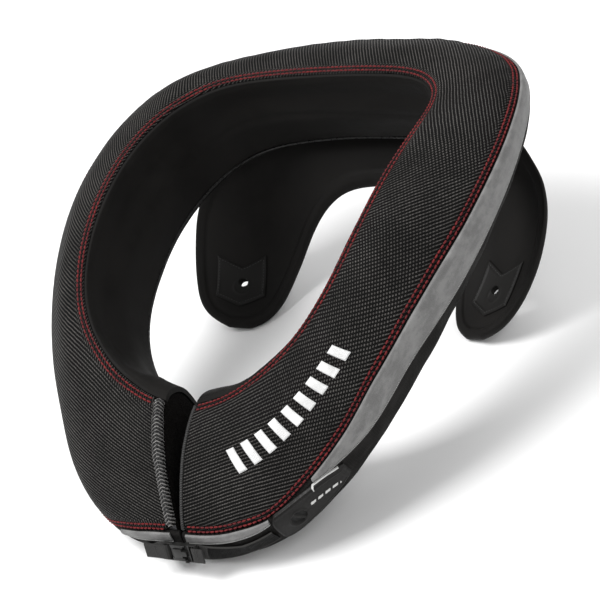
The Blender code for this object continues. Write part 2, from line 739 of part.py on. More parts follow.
def main():
    clear_scene()
    looks = {
        "foam": material("foam", (0.06, 0.06, 0.065), 0.9),
        "nylon": material("nylon", (0.016, 0.016, 0.017), 0.7),
        "neoprene": material("neoprene", (0.018, 0.017, 0.016), 0.55),
        "base": material("base_fabric", (0.028, 0.027, 0.026), 0.6),
        "fleece": material("fleece", (0.012, 0.012, 0.012), 0.95),
        "reflective": material("reflective", (0.27, 0.27, 0.27), 0.6),
        "binding": material("binding", (0.02, 0.02, 0.02), 0.4),
        "patch": material("patch_rubber", (0.02, 0.019, 0.018), 0.6),
        "plastic": material("plastic", (0.02, 0.02, 0.02), 0.35),
        "webbing": material("webbing", (0.03, 0.03, 0.03), 0.75),
        "tab": material("tab_rubber", (0.06, 0.058, 0.055), 0.5),
    }
    base = build_collar(looks)
    surface = YokeSurface(base)
    build_yoke(surface, looks)
    build_patches(surface, looks)
    punch_eyelets()
    build_buckle(looks)
    build_tab(looks)
    place_on_floor()


main()
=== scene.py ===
"""Looks of a padded neck collar with a rear yoke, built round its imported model.

Shapes are worked out in the collar's own frame, in millimetres, as the model's are: +X is the
wearer's left, -Y the chest, +Z up. A place is a share of half the collar's length, from its
left end at the throat (0) to the nape (1) and on to its right end. A knot is a point of the
section's outline, counted from the inner seam over the top face.
"""
import math
from collections import namedtuple

import bmesh
import bpy
import numpy as np
from mathutils import Euler, Matrix, Vector
from mathutils.bvhtree import BVHTree


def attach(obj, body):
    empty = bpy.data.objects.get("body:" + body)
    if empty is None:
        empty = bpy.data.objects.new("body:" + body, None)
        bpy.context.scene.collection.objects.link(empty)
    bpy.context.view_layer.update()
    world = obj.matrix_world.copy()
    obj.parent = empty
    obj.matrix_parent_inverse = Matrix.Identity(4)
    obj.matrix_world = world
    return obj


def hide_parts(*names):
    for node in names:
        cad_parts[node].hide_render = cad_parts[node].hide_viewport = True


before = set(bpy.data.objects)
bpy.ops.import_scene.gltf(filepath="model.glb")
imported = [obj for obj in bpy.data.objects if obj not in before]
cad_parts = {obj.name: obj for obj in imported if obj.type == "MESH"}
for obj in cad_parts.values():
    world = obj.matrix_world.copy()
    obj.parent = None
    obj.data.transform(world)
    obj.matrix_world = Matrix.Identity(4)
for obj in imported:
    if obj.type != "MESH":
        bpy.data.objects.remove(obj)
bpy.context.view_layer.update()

MM = 0.001
REST_TILT = math.radians(20.75)
REST_SHIFT = (-0.065, -4.646, 92.43)
TO_FLOOR = Matrix.Scale(MM, 4) @ Matrix.Translation(REST_SHIFT) @ Matrix.Rotation(REST_TILT, 4, "X")

CAMERA_AT = (0.4707, -0.4974, 0.4476)
CAMERA_TURN = (57.35, 19.84, 30.74)
CAMERA_LENS = 110.72
LIGHTS_AIM = Vector((0.0, 0.0, 0.05))

COVER = 2.0
GAP = 0.3
CORE_GAP = 0.75
SEAM = 0.02
END_PANEL = 2.0
BINDING_RADIUS = 2.2
PIPING_RADIUS = 0.9
STRIP_THICKNESS = 0.8
STRIP_INSET = 0.03
NARROWEST_STRIP = 0.07
WEBBING = 0.9
WEBBING_WIDTH = 6.2
TAB_THICKNESS = 1.8
TAB_RING = 3.1
TAB_RING_AT = 9.4
TAB_LEVEL = 5.6
# Where along the tab, in mm, the painted highlight line on its top edge runs.
TAB_EDGE_HIGHLIGHT = (18.7, 29.6)
TAB_DASH_PITCH = 2.9
SHEET = 3.5
RIM_HEIGHT = 0.65
PATCH = 0.9
EYELET_RADIUS = 2.3

Station = namedtuple(
    "Station", "inner_x inner_y inner_z outer_x outer_y outer_z wall bulge lean roll side flare")
STATIONS = [
    Station(5.2, -85.4, -8.0, 5.2, -129.0, -29.0, 47, 15, 8, 0.1, 21, 3.2),
    Station(21.0, -82.8, -3.8, 29.0, -126.5, -28.2, 47, 14, 8, 0.2, 21, 3.0),
    Station(36.0, -76.3, 0.6, 49.5, -116.0, -25.5, 48, 11, 9, 0.5, 20, 2.0),
    Station(54.6, -59.5, 7.0, 72.4, -88.0, -18.3, 49, 9, 8, 0.9, 21, 1.4),
    Station(65.7, -37.0, 12.2, 88.6, -55.4, -10.4, 49, 8, 7, 1.0, 21, 1.4),
    Station(71.2, -10.0, 14.5, 100.4, -18.8, -5.4, 50, 8, 7, 1.0, 20, 1.4),
    Station(73.6, 18.0, 12.0, 106.4, 18.8, -5.1, 50, 8, 7, 1.0, 18, 1.2),
    Station(74.0, 44.6, 4.8, 104.6, 55.0, -10.0, 50, 8, 7, 1.0, 16, 0.6),
    Station(69.4, 65.4, -2.8, 94.0, 85.2, -17.0, 49, 8, 7, 1.0, 14, 0.4),
    Station(56.0, 78.7, -6.8, 70.4, 104.0, -24.2, 48, 8, 7, 1.0, 14, 0.8),
    Station(31.0, 84.4, -8.0, 37.3, 116.0, -30.2, 47, 8, 7, 1.0, 15, 1.0),
    Station(0.0, 85.4, -8.0, 0.0, 119.5, -32.0, 46, 8, 7, 1.0, 16, 1.0),
]
RIGHT_FRONT = [
    Station(-36.0, -76.3, 0.6, -49.5, -116.0, -25.5, 48, 11, 9, 0.5, 22, 3.2),
    Station(-24.0, -81.9, -2.9, -22.0, -127.6, -28.5, 47, 14, 8, 0.2, 22, 4.2),
    Station(-15.0, -84.4, -5.6, -3.0, -129.1, -29.0, 47, 15, 8, 0.1, 21, 3.2),
    Station(-9.1, -85.3, -7.2, 3.8, -129.0, -29.0, 47, 15, 8, 0.1, 21, 3.2),
]
MIDDLE_KNOT = 1.6
OUTER_SEAM = 3.0
WALL_FOOT = 8.0
SECTION_KNOTS = 11.0
BINDING_KNOTS = (0.1, 2.85)
PIPING_KNOTS = (0.1, 2.95)
TOP_CROWN = 4.6
SEAM_LIP = 3.4
FOOT_INSET = 7.0

Band = namedtuple("Band", "place top bottom")
FRONT_STRIP_LEFT = [
    Band(0.006, 3.13, 3.32), Band(0.045, 3.12, 3.31), Band(0.090, 3.12, 3.29),
    Band(0.112, 3.13, 3.20)]
FRONT_STRIP_RIGHT = [
    Band(0.014, 3.12, 3.35), Band(0.035, 3.12, 3.34), Band(0.060, 3.12, 3.30),
    Band(0.082, 3.13, 3.19)]
SIDE_STRIP = [
    Band(0.176, 3.10, 3.17), Band(0.205, 3.05, 3.40), Band(0.255, 3.04, 3.78),
    Band(0.330, 3.04, 3.72), Band(0.400, 3.04, 3.98), Band(0.500, 3.04, 4.20),
    Band(0.660, 3.04, 4.15), Band(0.800, 3.05, 3.90), Band(0.930, 3.10, 3.22)]
TAB = [
    Band(0.114, 3.50, 3.95), Band(0.117, 3.22, 4.28), Band(0.123, 3.08, 4.50),
    Band(0.140, 3.08, 4.58), Band(0.172, 3.18, 4.50), Band(0.200, 3.46, 4.42),
    Band(0.212, 3.68, 4.34)]

YokeRow = namedtuple("YokeRow", "inner_x inner_y outer_x outer_y")
YOKE_ROWS = [
    YokeRow(59.5, 3.4, 69.5, 1.8), YokeRow(54.0, 7.6, 78.5, 4.8),
    YokeRow(49.8, 14.2, 85.3, 11.0), YokeRow(47.2, 22.5, 90.0, 20.5),
    YokeRow(45.2, 32.0, 93.2, 31.0), YokeRow(42.4, 42.0, 95.0, 42.0),
    YokeRow(38.8, 52.0, 94.8, 53.0), YokeRow(33.0, 60.5, 91.3, 63.5),
    YokeRow(24.0, 66.8, 84.0, 73.5), YokeRow(14.0, 69.5, 66.0, 89.5),
    YokeRow(6.5, 70.2, 36.0, 102.5), YokeRow(0.0, 70.4, 0.0, 107.0),
]
YOKE_DROPS = [
    (-5, -96.6), (10, -98.0), (22, -98.2), (40, -93.8), (60, -83.3),
    (70, -75.8), (80, -67.0), (90, -60.0), (100, -57.0), (110, -56.0)]
YOKE_CURL_START = 45.0
YOKE_CURL_REACH = 50.0
YOKE_CURL = 19.0
YOKE_JOIN = (86.0, 98.0)
YOKE_SEAM = 0.7
YOKE_SWAY = 1.8
YOKE_SWAY_START = 70.0
YOKE_SWAY_REACH = 45.0

PATCH_CENTRE = (69.2, 22.9)
PATCH_TURN = math.radians(13)
PATCH_HALF_WIDTH = 11.5
PATCH_BACK = -15.0
PATCH_FRONT = 5.0
PATCH_POINT = 5.2

BUCKLE_CENTRE = (6.4, -135.9, -33.2)
BUCKLE_LEAN = math.radians(-35)
BUCKLE_DIP = math.radians(-3.0)
BUCKLE_HEIGHT = 7.6
BODY_LENGTH = 6.8
BODY_DEPTH = 3.4
FRAME_LENGTH = 5.0
FRAME_DEPTH = 1.6
BAR = 1.3
STRAP_STANDOFF = 0.6
STRAP_KNOT = 3.9

# The cloth's weave: the spacing of its threads along and across the piece before it is sewn.
WARP_PITCH = 0.789
WEFT_PITCH = 1.149
GRAIN_TURN = math.radians(1.5)
# Which diagonal of the weave's floats is raised and painted lighter at a place, a painted highlight of
# the light catching one run of threads: 0 the falling one, 1 the rising one.
LIT_DIAGONAL_PLACES = (0.0, 0.13, 0.19, 0.42, 0.47, 0.52, 0.60, 2.0)
LIT_DIAGONAL = (0.85, 0.85, 0.50, 0.52, 0.85, 0.80, 0.08, 0.12)

# How far the outer seam wanders from its knot, by place: inward along the left side, and down
# over the edge at the back and on the right front.
SEAM_PLACES = (0.0, 0.03, 0.075, 0.115, 0.16, 0.235, 0.285, 0.37, 0.42, 0.48, 0.60, 0.70, 0.78, 0.84,
               0.96, 1.20, 1.45, 1.62, 1.74, 1.82, 1.865, 1.902, 1.924, 1.939, 1.966, 2.01)
SEAM_SHIFTS = (0.05, 0.05, 0.02, 0.12, 0.0, -0.06, -0.20, -0.23, -0.19, -0.09, -0.02, 0.0, 0.30, 0.54,
               0.50, 0.0, 0.0, 0.26, 0.70, 1.12, 1.35, 0.93, 0.51, 0.32, 0.11, 0.0)
SEAM_EASE = 0.008

# The row of satin bars: the places of its ends, the knots of its top and bottom, and each bar's
# share of the spacing, its slant in spacings and its height in millimetres.
MOTIF_START = 0.092
MOTIF_END = 0.300
MOTIF_BARS = 9
MOTIF_KNOTS = (1.86, 1.28)
MOTIF_WIDTH = 0.52
MOTIF_SLANT = -0.65
MOTIF_HEIGHT = 10.0

# Red stitching: distances of the two rows from each seam, one stitch's length and thickness.
INNER_ROWS = (1.4, 3.4)
OUTER_ROWS = (0.6, 2.5)
STITCH_PITCH = 2.25
STITCH_LENGTH = 1.85
STITCH_RADIUS = 0.40
STITCH_SINK = -0.26
STITCH_LIFT = 0.24


def smooth_spline(places, values):
    """A natural cubic spline through the rows of values at the given places."""
    x = np.asarray(places, float)
    y = np.asarray(values, float)
    count = len(x)
    step = np.diff(x)
    system = np.eye(count)
    right = np.zeros_like(y)
    for i in range(1, count - 1):
        system[i, i - 1:i + 2] = step[i - 1], 2 * (step[i - 1] + step[i]), step[i]
        right[i] = 6 * ((y[i + 1] - y[i]) / step[i] - (y[i] - y[i - 1]) / step[i - 1])
    bend = np.linalg.solve(system, right)

    def at(place):
        i = int(np.clip(np.searchsorted(x, place) - 1, 0, count - 2))
        h = step[i]
        a = (x[i + 1] - place) / h
        b = (place - x[i]) / h
        curve = ((a ** 3 - a) * bend[i] + (b ** 3 - b) * bend[i + 1]) * h * h / 6
        return a * y[i] + b * y[i + 1] + curve

    return at


def chord_lengths(points):
    steps = np.linalg.norm(np.diff(np.asarray(points, float), axis=0), axis=1)
    return np.concatenate([[0.0], np.cumsum(steps)])


def mirrored(row, flipped):
    return [-v if i in flipped else v for i, v in enumerate(row)]


def middle_of(row):
    return np.add(row[0:3], row[3:6]) / 2


def collar_spline():
    """The collar's sections by place, with the half length and the place of the right end."""
    lengths = chord_lengths([middle_of(row) for row in STATIONS])
    half = lengths[-1]
    right = [mirrored(row, {0, 3}) for row in STATIONS[-2:2:-1]]
    front = chord_lengths([middle_of(row) for row in [right[-1]] + RIGHT_FRONT])[1:]
    right_lengths = 2 * half - lengths[-2:2:-1]
    places = np.concatenate([lengths, right_lengths, right_lengths[-1] + front]) / half
    return smooth_spline(places, STATIONS + right + RIGHT_FRONT), half, places[-1]


section_at, HALF_LENGTH, RIGHT_END = collar_spline()
COVER_PLACES = np.linspace(0, RIGHT_END, 430)
TAB_LENGTH = (TAB[-1].place - TAB[0].place) * HALF_LENGTH


def step(distance):
    """A distance along the collar as a share of its half length."""
    return distance / HALF_LENGTH


def section_knots(row):
    """The outline's knots as (outward, up) from the inner seam, in order round the section."""
    width = math.hypot(row.outer_x - row.inner_x, row.outer_y - row.inner_y)
    drop = row.inner_z - row.outer_z
    foot = -drop - row.side
    upper = 0.16 + 0.12 * row.roll
    lower = 0.42 + 0.12 * row.roll
    return np.array([
        (-SEAM_LIP, -0.5),
        (0.34 * width, -0.34 * drop + 0.92 * TOP_CROWN),
        (0.70 * width, -0.70 * drop + 0.86 * TOP_CROWN),
        (width, -drop),
        (width + row.flare, -drop - 0.5 * row.side),
        (width - 1.2, foot + 1.0),
        (width - FOOT_INSET, foot - 1.0),
        (0.30 * width - row.lean, -row.wall - 1.0),
        (-row.lean + 1.5, -row.wall + 1.5),
        (-row.bulge, -lower * row.wall),
        (-row.bulge * (0.95 - 0.35 * row.roll), -upper * row.wall),
    ])


class Section:
    """The collar cut at one place. Its calls take one knot or an array of them."""

    def __init__(self, place):
        row = Station(*section_at(place))
        self.knots = section_knots(row)
        self.seam = np.array([row.inner_x, row.inner_y, row.inner_z])
        across = np.array([row.outer_x - row.inner_x, row.outer_y - row.inner_y])
        self.outward = across / np.linalg.norm(across)

    def flat(self, knot):
        knot = np.asarray(knot, float)
        i = np.floor(knot).astype(int)
        f = (knot - i)[..., None]
        a, b, c, d = (self.knots[(i + n) % len(self.knots)] for n in (-1, 0, 1, 2))
        return 0.5 * (2 * b + (c - a) * f + (2 * a - 5 * b + 4 * c - d) * f ** 2
                      + (3 * b - a - 3 * c + d) * f ** 3)

    def point(self, knot, out=0.0):
        knot = np.asarray(knot, float)
        along = self.flat(knot + 0.02) - self.flat(knot - 0.02)
        along = along / np.linalg.norm(along, axis=-1, keepdims=True)
        normal = np.stack([-along[..., 1], along[..., 0]], -1)
        spot = self.flat(knot) + np.asarray(out, float)[..., None] * normal
        level = self.seam[:2] + self.outward * spot[..., :1]
        return np.concatenate([level, self.seam[2] + spot[..., 1:]], -1)


def waves(seed, count, shortest, longest):
    """A smooth uneven function of two lengths, from -1 to 1: waves laid over one another."""
    draw = np.random.RandomState(seed)
    size = np.exp(draw.uniform(math.log(shortest), math.log(longest), count))
    turn = draw.uniform(0, math.pi, count)
    phase = draw.uniform(0, 2 * math.pi, count)

    def at(u, v):
        total = 0.0
        for length, angle, start in zip(size, turn, phase):
            total = total + np.sin(
                2 * math.pi * (u * math.cos(angle) + v * math.sin(angle)) / length + start)
        return total / math.sqrt(count) / 1.6

    return at


def bell(distance, width):
    return np.exp(-(np.asarray(distance) / width) ** 2)


def ramp(value, low, high):
    share = np.clip((np.asarray(value, float) - low) / (high - low), 0, 1)
    return share * share * (3 - 2 * share)


def denser_ends(count, amount=0.8):
    """Shares from 0 to 1, closer together at both ends."""
    t = np.linspace(0, 1, count)
    return t - amount * np.sin(2 * math.pi * t) / (2 * math.pi)


def into_scene(name, data):
    item = bpy.data.objects.new(name, data)
    bpy.context.scene.collection.objects.link(item)
    return item


def make_object(name, points, faces, look, grain=None):
    """A mesh from points in the collar's frame, with what its pattern is laid out along."""
    mesh = bpy.data.meshes.new(name)
    mesh.from_pydata([tuple(p) for p in np.asarray(points).tolist()], [], faces)
    made = bmesh.new()
    made.from_mesh(mesh)
    bmesh.ops.recalc_face_normals(made, faces=made.faces)
    made.to_mesh(mesh)
    made.free()
    mesh.transform(TO_FLOOR)
    spots = np.empty(3 * len(mesh.vertices), np.float32)
    mesh.vertices.foreach_get("co", spots)
    spots[2::3] = np.maximum(spots[2::3], 0.0)
    mesh.vertices.foreach_set("co", spots)
    if grain is not None:
        laid = mesh.attributes.new("grain", "FLOAT_VECTOR", "POINT")
        laid.data.foreach_set("vector", np.asarray(grain, np.float32).ravel())
    mesh.materials.append(look)
    smooth_but_for_edges(mesh, 60)
    return into_scene(name, mesh)


def smooth_but_for_edges(mesh, degrees):
    mesh.shade_smooth()
    mesh.set_sharp_from_angle(angle=math.radians(degrees))


def sheet_faces(rows, columns, start=0):
    """The faces of a closed sheet: two grids of points, one after the other, and its rim."""
    size = rows * columns
    index = start + np.arange(size).reshape(rows, columns)
    quads = np.stack([index[:-1, :-1], index[:-1, 1:], index[1:, 1:], index[1:, :-1]], -1)
    quads = quads.reshape(-1, 4)
    edge = [*index[0], *index[1:, -1], *index[-1, -2::-1], *index[-2:0:-1, 0]]
    rim = [(a, b, b + size, a + size) for a, b in zip(edge, edge[1:] + edge[:1])]
    return quads.tolist() + (quads[:, ::-1] + size).tolist() + rim


def sheet_mesh(name, outer, inner, grain, look):
    """A closed sheet between two grids of points of equal size."""
    points = np.concatenate([outer.reshape(-1, 3), inner.reshape(-1, 3)])
    laid = np.tile(grain.reshape(-1, 3), (2, 1))
    return make_object(name, points, sheet_faces(*outer.shape[:2]), look, laid)


def ring_faces(rows, columns, start=0):
    """The faces between closed rings of points."""
    index = start + np.arange(rows * columns).reshape(rows, columns)
    after = np.roll(index, -1, axis=1)
    return np.stack([index[:-1], after[:-1], after[1:], index[1:]], -1).reshape(-1, 4).tolist()


def tube_mesh(name, rings, look, grain=None):
    """A tube through closed rings of points, with a middle point at each end."""
    rows, columns = rings.shape[:2]
    faces = ring_faces(rows, columns)
    for first, centre in ((0, rows * columns), ((rows - 1) * columns, rows * columns + 1)):
        faces += [(first + j, first + (j + 1) % columns, centre) for j in range(columns)]
    points, laid = (None if grid is None else np.concatenate(
        [grid.reshape(-1, 3), [grid[0].mean(0), grid[-1].mean(0)]]) for grid in (rings, grain))
    return make_object(name, points, faces, look, laid)


def frames_along(path, up=None):
    """Unit directions ahead, to the side and up at each point of a path."""
    path = np.asarray(path, float)
    ahead = np.gradient(path, axis=0)
    ahead /= np.linalg.norm(ahead, axis=1, keepdims=True)
    hint = np.broadcast_to(np.array([0.0, 0.0, 1.0]) if up is None else up, path.shape)
    side = np.cross(ahead, hint)
    side /= np.linalg.norm(side, axis=1, keepdims=True)
    return ahead, side, np.cross(side, ahead)


def tube_along(name, path, radius_at, sides, look, up=None, turn_of=lambda a: a):
    """A tube round a path; radius_at takes the length along it and the angle round it."""
    path = np.asarray(path, float)
    ahead, side, rise = frames_along(path, up)
    length = chord_lengths(path)[:, None]
    angle = (2 * math.pi * np.arange(sides) / sides)[None, :]
    radius = radius_at(length, angle) * np.ones((len(path), sides))
    ring = (side[:, None] * np.cos(angle)[..., None] + rise[:, None] * np.sin(angle)[..., None])
    rings = path[:, None] + ring * radius[..., None]
    grain = np.stack([length + 0 * angle, 0 * length + turn_of(angle), radius], -1)
    return tube_mesh(name, rings, look, grain)


def resampled(path, spacing):
    """Points at even spacing along a path."""
    path = np.asarray(path, float)
    lengths = chord_lengths(path)
    count = max(2, int(round(lengths[-1] / spacing)) + 1)
    at = np.linspace(0, lengths[-1], count)
    return np.stack([np.interp(at, lengths, path[:, i]) for i in range(path.shape[1])], 1)


class Look:
    """A Principled material to which the nodes of a pattern are added one at a time."""

    def __init__(self, name, colour, roughness, specular=0.5):
        self.made = bpy.data.materials.new(name)
        self.made.use_nodes = True
        self.tree = self.made.node_tree
        self.shader = self.tree.nodes["Principled BSDF"]
        self.set(self.shader, Base_Color=(*colour, 1.0), Roughness=roughness,
                 Specular_IOR_Level=specular)

    def plug(self, value, socket):
        if isinstance(value, bpy.types.NodeSocket):
            self.tree.links.new(value, socket)
        else:
            socket.default_value = value

    def set(self, node, **sockets):
        for key, value in sockets.items():
            self.plug(value, node.inputs[key.replace("_", " ")])
        return node

    def add(self, kind, *values, **settings):
        node = self.tree.nodes.new("ShaderNode" + kind)
        for key, value in settings.items():
            setattr(node, key, value)
        for i, value in enumerate(values):
            self.plug(value, node.inputs[i])
        return node

    def math(self, operation, a, b=0.0, c=0.0):
        return self.add("Math", a, b, c, operation=operation).outputs[0]

    def times(self, a, b):
        return self.math("MULTIPLY", a, b)

    def plus(self, a, b):
        return self.math("ADD", a, b)

    def wave(self, value, pitch):
        """The cosine of a length, with one turn for each pitch."""
        return self.math("COSINE", self.times(value, 2 * math.pi / pitch))

    def laid(self):
        """What the mesh says of each point: two lengths in the cloth, and a third value."""
        spread = self.add("Attribute", attribute_name="grain").outputs["Vector"]
        return spread, *self.add("SeparateXYZ", spread).outputs

    def place(self):
        return self.add("TexCoord").outputs["Object"]

    def noise(self, at, scale, detail=3.0, roughness=0.5):
        return self.set(self.add("TexNoise"), Vector=at, Scale=scale, Detail=detail,
                        Roughness=roughness).outputs["Fac"]

    def span(self, value, low, high, first=0.0, last=1.0):
        """A value's smooth course between two numbers, as it goes from low to high."""
        return self.add("MapRange", value, low, high, first, last,
                        interpolation_type="SMOOTHSTEP").outputs["Result"]

    def mix(self, share, first, last):
        node = self.add("Mix", data_type="RGBA")
        for value, slot in ((share, 0), (first, 6), (last, 7)):
            self.plug((*value, 1.0) if isinstance(value, tuple) else value, node.inputs[slot])
        return node.outputs[2]

    def over(self, base, colour, value, low, high, most=1.0):
        """A colour laid over a base as a value goes from low to high."""
        return self.mix(self.span(value, low, high, 0.0, most), base, colour)

    def finish(self, colour, rough, height=None, depth_mm=0.0, strength=1.0):
        """The material, with its colour, its roughness and the relief of its surface."""
        self.set(self.shader, Base_Color=colour, Roughness=rough)
        if height is not None:
            bump = self.set(self.add("Bump"), Strength=strength, Distance=depth_mm * MM, Height=height)
            self.set(self.shader, Normal=bump.outputs["Normal"])
        return self.made


def tinted(shade, times):
    return tuple(times * c for c in shade)


def nylon_look():
    """Coarse plain-woven nylon: rounded floats in a brick pattern, their crowns painted lighter as
    painted highlights.
    At each place one diagonal of the pattern stands out, as the mesh's third value says: its floats are
    raised and get more of the painted highlight. Above 1 the third value marks the stitched seams,
    painted darker as painted shade."""
    look = Look("nylon_weave", (0.02, 0.02, 0.02), 0.5, 0.06)
    spot, u, v, lit_diagonal_and_seam_shade = look.laid()
    bent_u = look.math("MULTIPLY_ADD", look.noise(spot, 0.22), 0.5, u)
    bent_v = look.math("MULTIPLY_ADD", look.noise(spot, 0.16, 2.0), 0.4, v)
    turn_u = look.times(bent_u, math.pi / WARP_PITCH)
    turn_v = look.times(bent_v, math.pi / WEFT_PITCH)
    falling = look.math("COSINE", look.math("SUBTRACT", turn_v, turn_u))
    rising = look.math("COSINE", look.plus(turn_u, turn_v))
    # Painted highlight by place: the chosen diagonal's floats are raised and painted lighter.
    ribs = look.plus(look.times(falling, look.span(lit_diagonal_and_seam_shade, 0.4, 1.0, 1.0, 0.18)),
                     look.times(rising, look.span(lit_diagonal_and_seam_shade, 0.0, 0.6, 0.18, 1.0)))
    crown = look.span(ribs, 0.0, 1.1)
    cross = look.span(look.times(ribs, -1.0), 0.6, 1.5)
    threads = look.wave(bent_v, WEFT_PITCH / 4)
    height = look.plus(crown, look.times(cross, 0.22))
    height = look.plus(height, look.times(look.times(threads, crown), 0.10))
    shine = look.plus(crown, look.times(cross, 0.08))
    # Random tone over the floats, then painted shade along the stitched seams, where the third value is
    # above 1.
    for factor in (look.span(look.noise(spot, 0.9, 4.0, 0.7), 0.3, 0.75, 0.5, 1.35),
                   look.span(look.noise(spot, 0.035, 3.0, 0.6), 0.3, 0.7, 0.7, 1.3),
                   look.span(lit_diagonal_and_seam_shade, 1.1, 2.6, 0.8, 0.25)):
        shine = look.times(shine, factor)
    return look.finish(look.mix(shine, (0.0010, 0.0010, 0.0010), (0.080, 0.0755, 0.0715)),
                       look.span(height, 0.0, 1.0, 0.70, 0.45), height, 0.26, 0.95)


def neoprene_look(name, shade, scale=1.0):
    """Smooth neoprene with a fine knitted face and a faint bloom."""
    look = Look(name, shade, 0.7, 0.10)
    spot, u, v, edge = look.laid()
    knit = look.times(look.wave(u, 0.62 * scale), look.wave(v, 0.46 * scale))
    bloom = look.noise(spot, 0.045, 4.0, 0.6)
    lint = look.noise(spot, 1.7, 3.0, 0.7)
    base = look.over(tinted(shade, 0.78), tinted(shade, 1.28), bloom, 0.3, 0.7)
    base = look.over(base, tinted(shade, 3.0), lint, 0.66, 0.78, 0.22)
    base = look.over(base, tinted(shade, 2.1), knit, 0.2, 1.0, 0.16)
    return look.finish(base, look.span(bloom, 0.25, 0.75, 0.56, 0.74),
                       look.plus(look.times(knit, 0.5), look.times(lint, 1.2)), 0.06, 0.5)


def knit_look():
    """Charcoal jersey of the sides and base: fine upright loops."""
    look = Look("charcoal_knit", (0.03, 0.029, 0.028), 0.8, 0.07)
    spot, u, v, edge = look.laid()
    loops = look.times(look.wave(u, 0.9), look.plus(look.wave(v, 0.7), 0.4))
    tone = look.noise(spot, 0.08, 4.0, 0.6)
    base = look.over((0.0060, 0.0057, 0.0054), (0.0125, 0.0118, 0.0112), tone, 0.3, 0.7)
    base = look.over(base, (0.022, 0.021, 0.020), loops, 0.1, 1.2, 0.4)
    return look.finish(base, look.span(tone, 0.3, 0.7, 0.85, 0.68), loops, 0.10, 0.6)


def fleece_look():
    """Brushed black fleece, all fine loose hairs."""
    look = Look("brushed_fleece", (0.004, 0.004, 0.004), 0.95, 0.02)
    spot = look.place()
    hair = look.noise(spot, 2600.0, 4.0, 0.75)
    clump = look.noise(spot, 420.0, 3.0, 0.6)
    base = look.over((0.0015, 0.0014, 0.0013), (0.017, 0.0155, 0.0145), hair, 0.42, 0.72)
    return look.finish(base, look.span(clump, 0.3, 0.7, 0.98, 0.86), look.plus(hair, clump), 0.5, 0.9)


def reflective_look():
    """Silver-grey cloth of glass beads, with faint creases and rubbed spots."""
    look = Look("bead_cloth", (0.13, 0.13, 0.13), 0.55, 0.3)
    spot, u, v, edge = look.laid()
    weave = look.times(look.wave(u, 0.7), look.wave(v, 0.7))
    beads = look.noise(spot, 3.2, 2.0, 0.8)
    soil = look.noise(spot, 0.16, 5.0, 0.65)
    base = look.over((0.098, 0.097, 0.096), (0.165, 0.164, 0.162), soil, 0.36, 0.66)
    base = look.over(base, (0.21, 0.208, 0.205), beads, 0.45, 0.7, 0.4)
    base = look.over(base, (0.075, 0.0745, 0.074), weave, 0.1, 1.0, 0.16)
    return look.finish(base, look.span(soil, 0.3, 0.7, 0.46, 0.64),
                       look.plus(weave, look.times(beads, 0.8)), 0.05, 0.6)


def cord_look(name, dark, pale, pitch, roughness):
    """Thread wound or braided: fine slanted strands, glossy on their crowns, which are painted pale as
    painted highlights.
    """
    look = Look(name, dark, roughness, 0.35)
    spot, u, v, edge = look.laid()
    strands = look.math("COSINE", look.plus(look.times(u, 2 * math.pi / pitch), look.times(v, 2.0)))
    tone = look.noise(spot, 0.8, 3.0, 0.6)
    # Painted highlight: the strands' crowns are painted pale over the thread's dark colour.
    share = look.times(look.span(strands, 0.1, 1.0), look.span(tone, 0.3, 0.7, 0.15, 1.15))
    rough = look.span(tone, 0.3, 0.7, roughness - 0.08, roughness + 0.12)
    return look.finish(look.mix(share, dark, pale), rough, strands, 0.10, 0.8)


def webbing_look():
    """Ribbed polyester webbing. The third value tells a strap's run painted dark as painted shade, and
    that run's edges, painted lighter as painted highlights.
    """
    look = Look("ribbed_webbing", (0.03, 0.03, 0.03), 0.6, 0.10)
    spot, u, v, edge = look.laid()
    ribs = look.wave(u, 0.74)
    picks = look.wave(v, 0.42)
    tone = look.noise(spot, 0.5, 3.0, 0.6)
    share = look.span(look.plus(ribs, look.times(picks, 0.5)), -1.4, 1.4, 0.25, 0.85)
    base = look.mix(share, (0.014, 0.014, 0.0138), (0.034, 0.0335, 0.0325))
    base = look.over(base, (0.050, 0.049, 0.048), tone, 0.4, 0.7, 0.3)
    # The strap's run in shade: painted shade, darker than the webbing's own colour.
    dark = look.mix(share, (0.0010, 0.0010, 0.0010), (0.0035, 0.0034, 0.0033))
    # The run's edges painted lighter: painted highlights.
    rim = look.span(edge, 10.25, 10.7, 0.8, 0.0)
    dark = look.mix(rim, dark, (0.040, 0.039, 0.037))
    return look.finish(look.over(base, dark, edge, 7.0, 9.0), look.span(tone, 0.3, 0.7, 0.5, 0.7),
                       look.plus(ribs, look.times(picks, 0.4)), 0.07, 0.6)


def rubber_look(name, shade, roughness):
    """Moulded rubber with a fine leathery grain. The third value tells a recess, painted dark as
    painted shade, when below 0;
    edges and raised parts, painted lighter as painted highlights, near 1; and pale print with a painted
    highlight line above 1.5."""
    look = Look(name, shade, roughness, 0.16)
    spot, u, v, edge = look.laid()
    pores = look.noise(spot, 0.9, 4.0, 0.7)
    rub = look.noise(spot, 0.12, 3.0, 0.6)
    base = look.over(tinted(shade, 0.8), tinted(shade, 1.2), rub, 0.3, 0.7)
    # Painted highlight where the third value nears 1: the tab's edges and the patch's raised border and
    # eyelet ring.
    base = look.over(base, tinted(shade, 1.9), edge, 0.55, 1.0, 0.5)
    # Painted shade: recesses, where the third value is below 0, are painted dark.
    base = look.mix(look.span(edge, -1.0, 0.0, 0.85, 0.0), base, tinted(shade, 0.12))
    # Above 1.5: pale print, and on the tab the painted highlight line along its edge.
    base = look.over(base, (0.46, 0.46, 0.45), edge, 1.3, 1.7)
    rough = look.span(pores, 0.3, 0.7, roughness - 0.06, roughness + 0.14)
    return look.finish(base, rough, pores, 0.10, 0.4)


